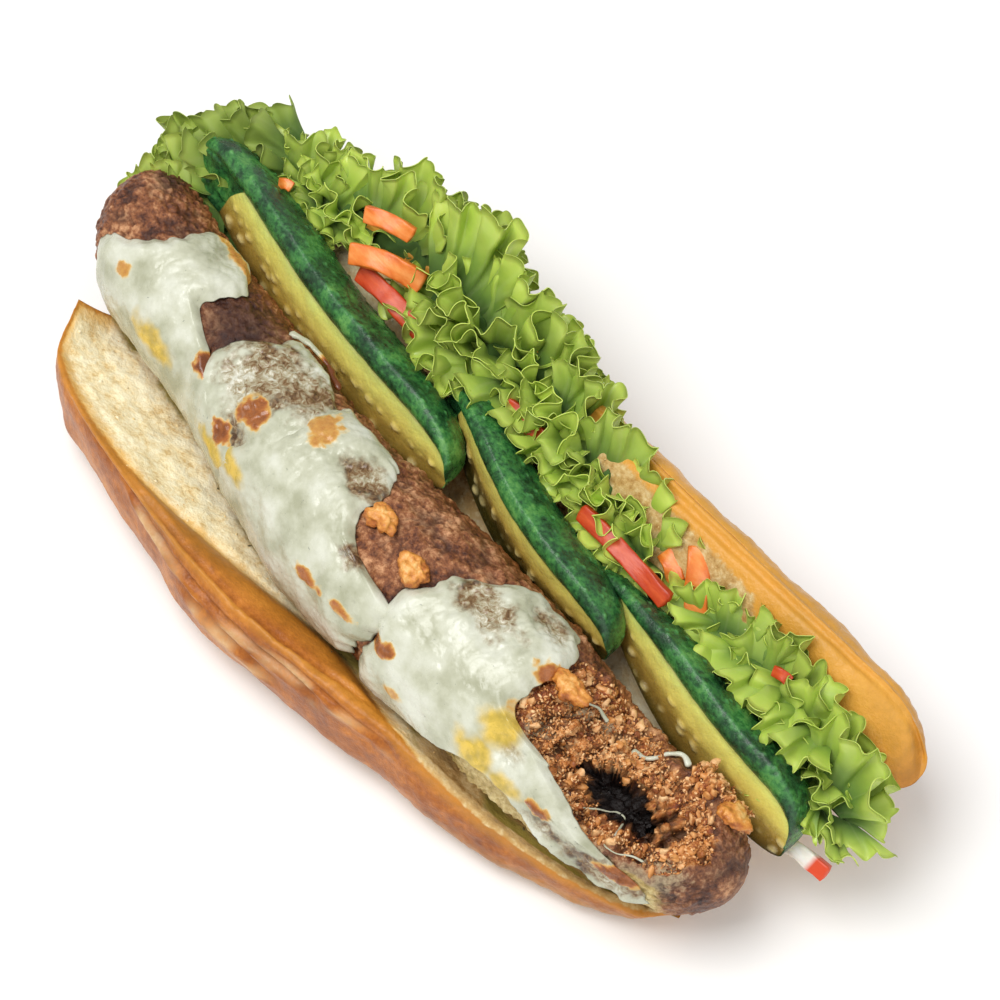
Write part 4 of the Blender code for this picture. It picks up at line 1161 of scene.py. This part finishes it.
def grain_finish(name, roughness, *shades):
    """Small bits: each its own shade between the colours given."""
    finish, add, shader, where, mark = new_finish(name, "tone")
    fleck = add("TexNoise", Vector=where, Scale=900.0, Detail=3.0)
    places = np.linspace(0.18, 0.94, len(shades)).tolist()
    plug(shader, Roughness=roughness, Base_Color=add("ValToRGB", stops=list(zip(places, shades)),
                                                     Fac=weighed(add, fleck, 0.4, mark["tone"], 0.7)))
    return finish


grain_tree = scatter_tree()
torn_bits = grain_finish("shredded_mince", 0.5, "3E190A", "9A5628", "D6924E", "F6CC96")
dry_crumbs = grain_finish("bread_crumbs", 0.85, "C8964E", "E8CE94", "F6ECD0")
spice = grain_finish("pepper_and_herb", 0.6, "2A241C", "4A4A2C", "6A5A34")
for name, ground, finish, slot, sizes in (
        ("torn_mince_shreds", meat, torn_bits, "browned_meat",
         dict(mark="shreds", density=1900000, small=0.3, large=0.8, stretch=1.9, seed=5)),
        ("torn_mince_clumps", meat, torn_bits, "browned_meat",
         dict(mark="shreds", density=70000, small=0.9, large=2.4, stretch=1.6, seed=31, rounds=2)),
        ("loose_bread_crumbs", bread, dry_crumbs, "bread_crust",
         dict(mark="dust", density=12000, small=0.35, large=1.1, stretch=1.2, seed=11)),
        ("pepper_and_herb_flecks", bread, spice, "bread_crust",
         dict(mark="oil", density=30000, small=0.25, large=0.8, stretch=1.5, seed=23))):
    bits = scattered(name, ground, finish, **sizes)
    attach(bits, "root")

# chips of carrot and pepper that show between the leaves, and two of pepper in the torn meat
for name, start, end, kind in (("carrot_chip", (-95.5, 26.5, 46), (-92, 27.5, 47), "carrot"),
                               ("pepper_chip_1", (87, 32.5, 44), (91.5, 33.5, 44), "pepper"),
                               ("pepper_chip_2", (98.5, -21, 28.5), (102.5, -19, 29.5), "pepper"),
                               ("pepper_chip_3", (98, -24, 25.5), (101, -22.5, 27), "pepper")):
    chip = build_strip(name, start, end, 0.6, 2.8, 1.6, cut_finishes[kind])
    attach(chip, "root")

# ---- the table, the light and the camera ----
# A pale matt table top under a large soft light, with a low fill, as in a plain food studio.
FLOOR_REACH = 4.0               # metres, and how far the table top lies under the bread
FLOOR_DROP = 0.0004
floor_mesh = bpy.data.meshes.new("table_top")
floor_mesh.from_pydata([(x * FLOOR_REACH, y * FLOOR_REACH, -FLOOR_DROP)
                        for x, y in ((-1, -1), (1, -1), (1, 1), (-1, 1))], [], [(0, 1, 2, 3)])
floor = bpy.data.objects.new("table_top", floor_mesh)
bpy.context.scene.collection.objects.link(floor)
floor_finish, _, floor_shader, _, _ = new_finish("white_laminate")
plug(floor_shader, Base_Color="FCFBF9", Roughness=0.9)
floor_mesh.materials.append(floor_finish)

world = bpy.data.worlds.new("studio")
bpy.context.scene.world = world
world.use_nodes = True
plug(world.node_tree.nodes["Background"], Color="FFFFFF", Strength=0.5)

CAMERA_AZIMUTH = math.radians(51)
CAMERA_RISE = math.radians(60)
CAMERA_DISTANCE = 0.72
target = Vector((0.0051, 0.0170, 0.030))
back = Vector((math.sin(CAMERA_AZIMUTH) * math.cos(CAMERA_RISE),
               -math.cos(CAMERA_AZIMUTH) * math.cos(CAMERA_RISE), math.sin(CAMERA_RISE)))
right = Vector((math.cos(CAMERA_AZIMUTH), math.sin(CAMERA_AZIMUTH), 0))
upward = back.cross(right)
# a lamp: its side, height over the view and distance towards the camera in metres, size and power
for name, side, lift, ahead, size, power in (("key", -0.3, 0.4, 0.8, 0.6, 7.0),
                                             ("fill", 0.3, -0.35, 0.8, 0.8, 2.0)):
    lamp = bpy.data.lights.new(name, "AREA")
    lamp.size = size
    lamp.energy = power
    holder = bpy.data.objects.new(name, lamp)
    holder.location = target + right * side + upward * lift + back * ahead
    holder.rotation_euler = (holder.location - target).to_track_quat("Z", "Y").to_euler()
    bpy.context.scene.collection.objects.link(holder)

camera_data = bpy.data.cameras.new("camera")
camera_data.lens = 105.494
camera_data.sensor_width = 36.0
camera = bpy.data.objects.new("camera", camera_data)
camera.location = target + back * CAMERA_DISTANCE
camera.rotation_euler = back.to_track_quat("Z", "Y").to_euler()
bpy.context.scene.collection.objects.link(camera)
bpy.context.scene.camera = camera

bpy.context.scene.view_settings.view_transform = "Standard"
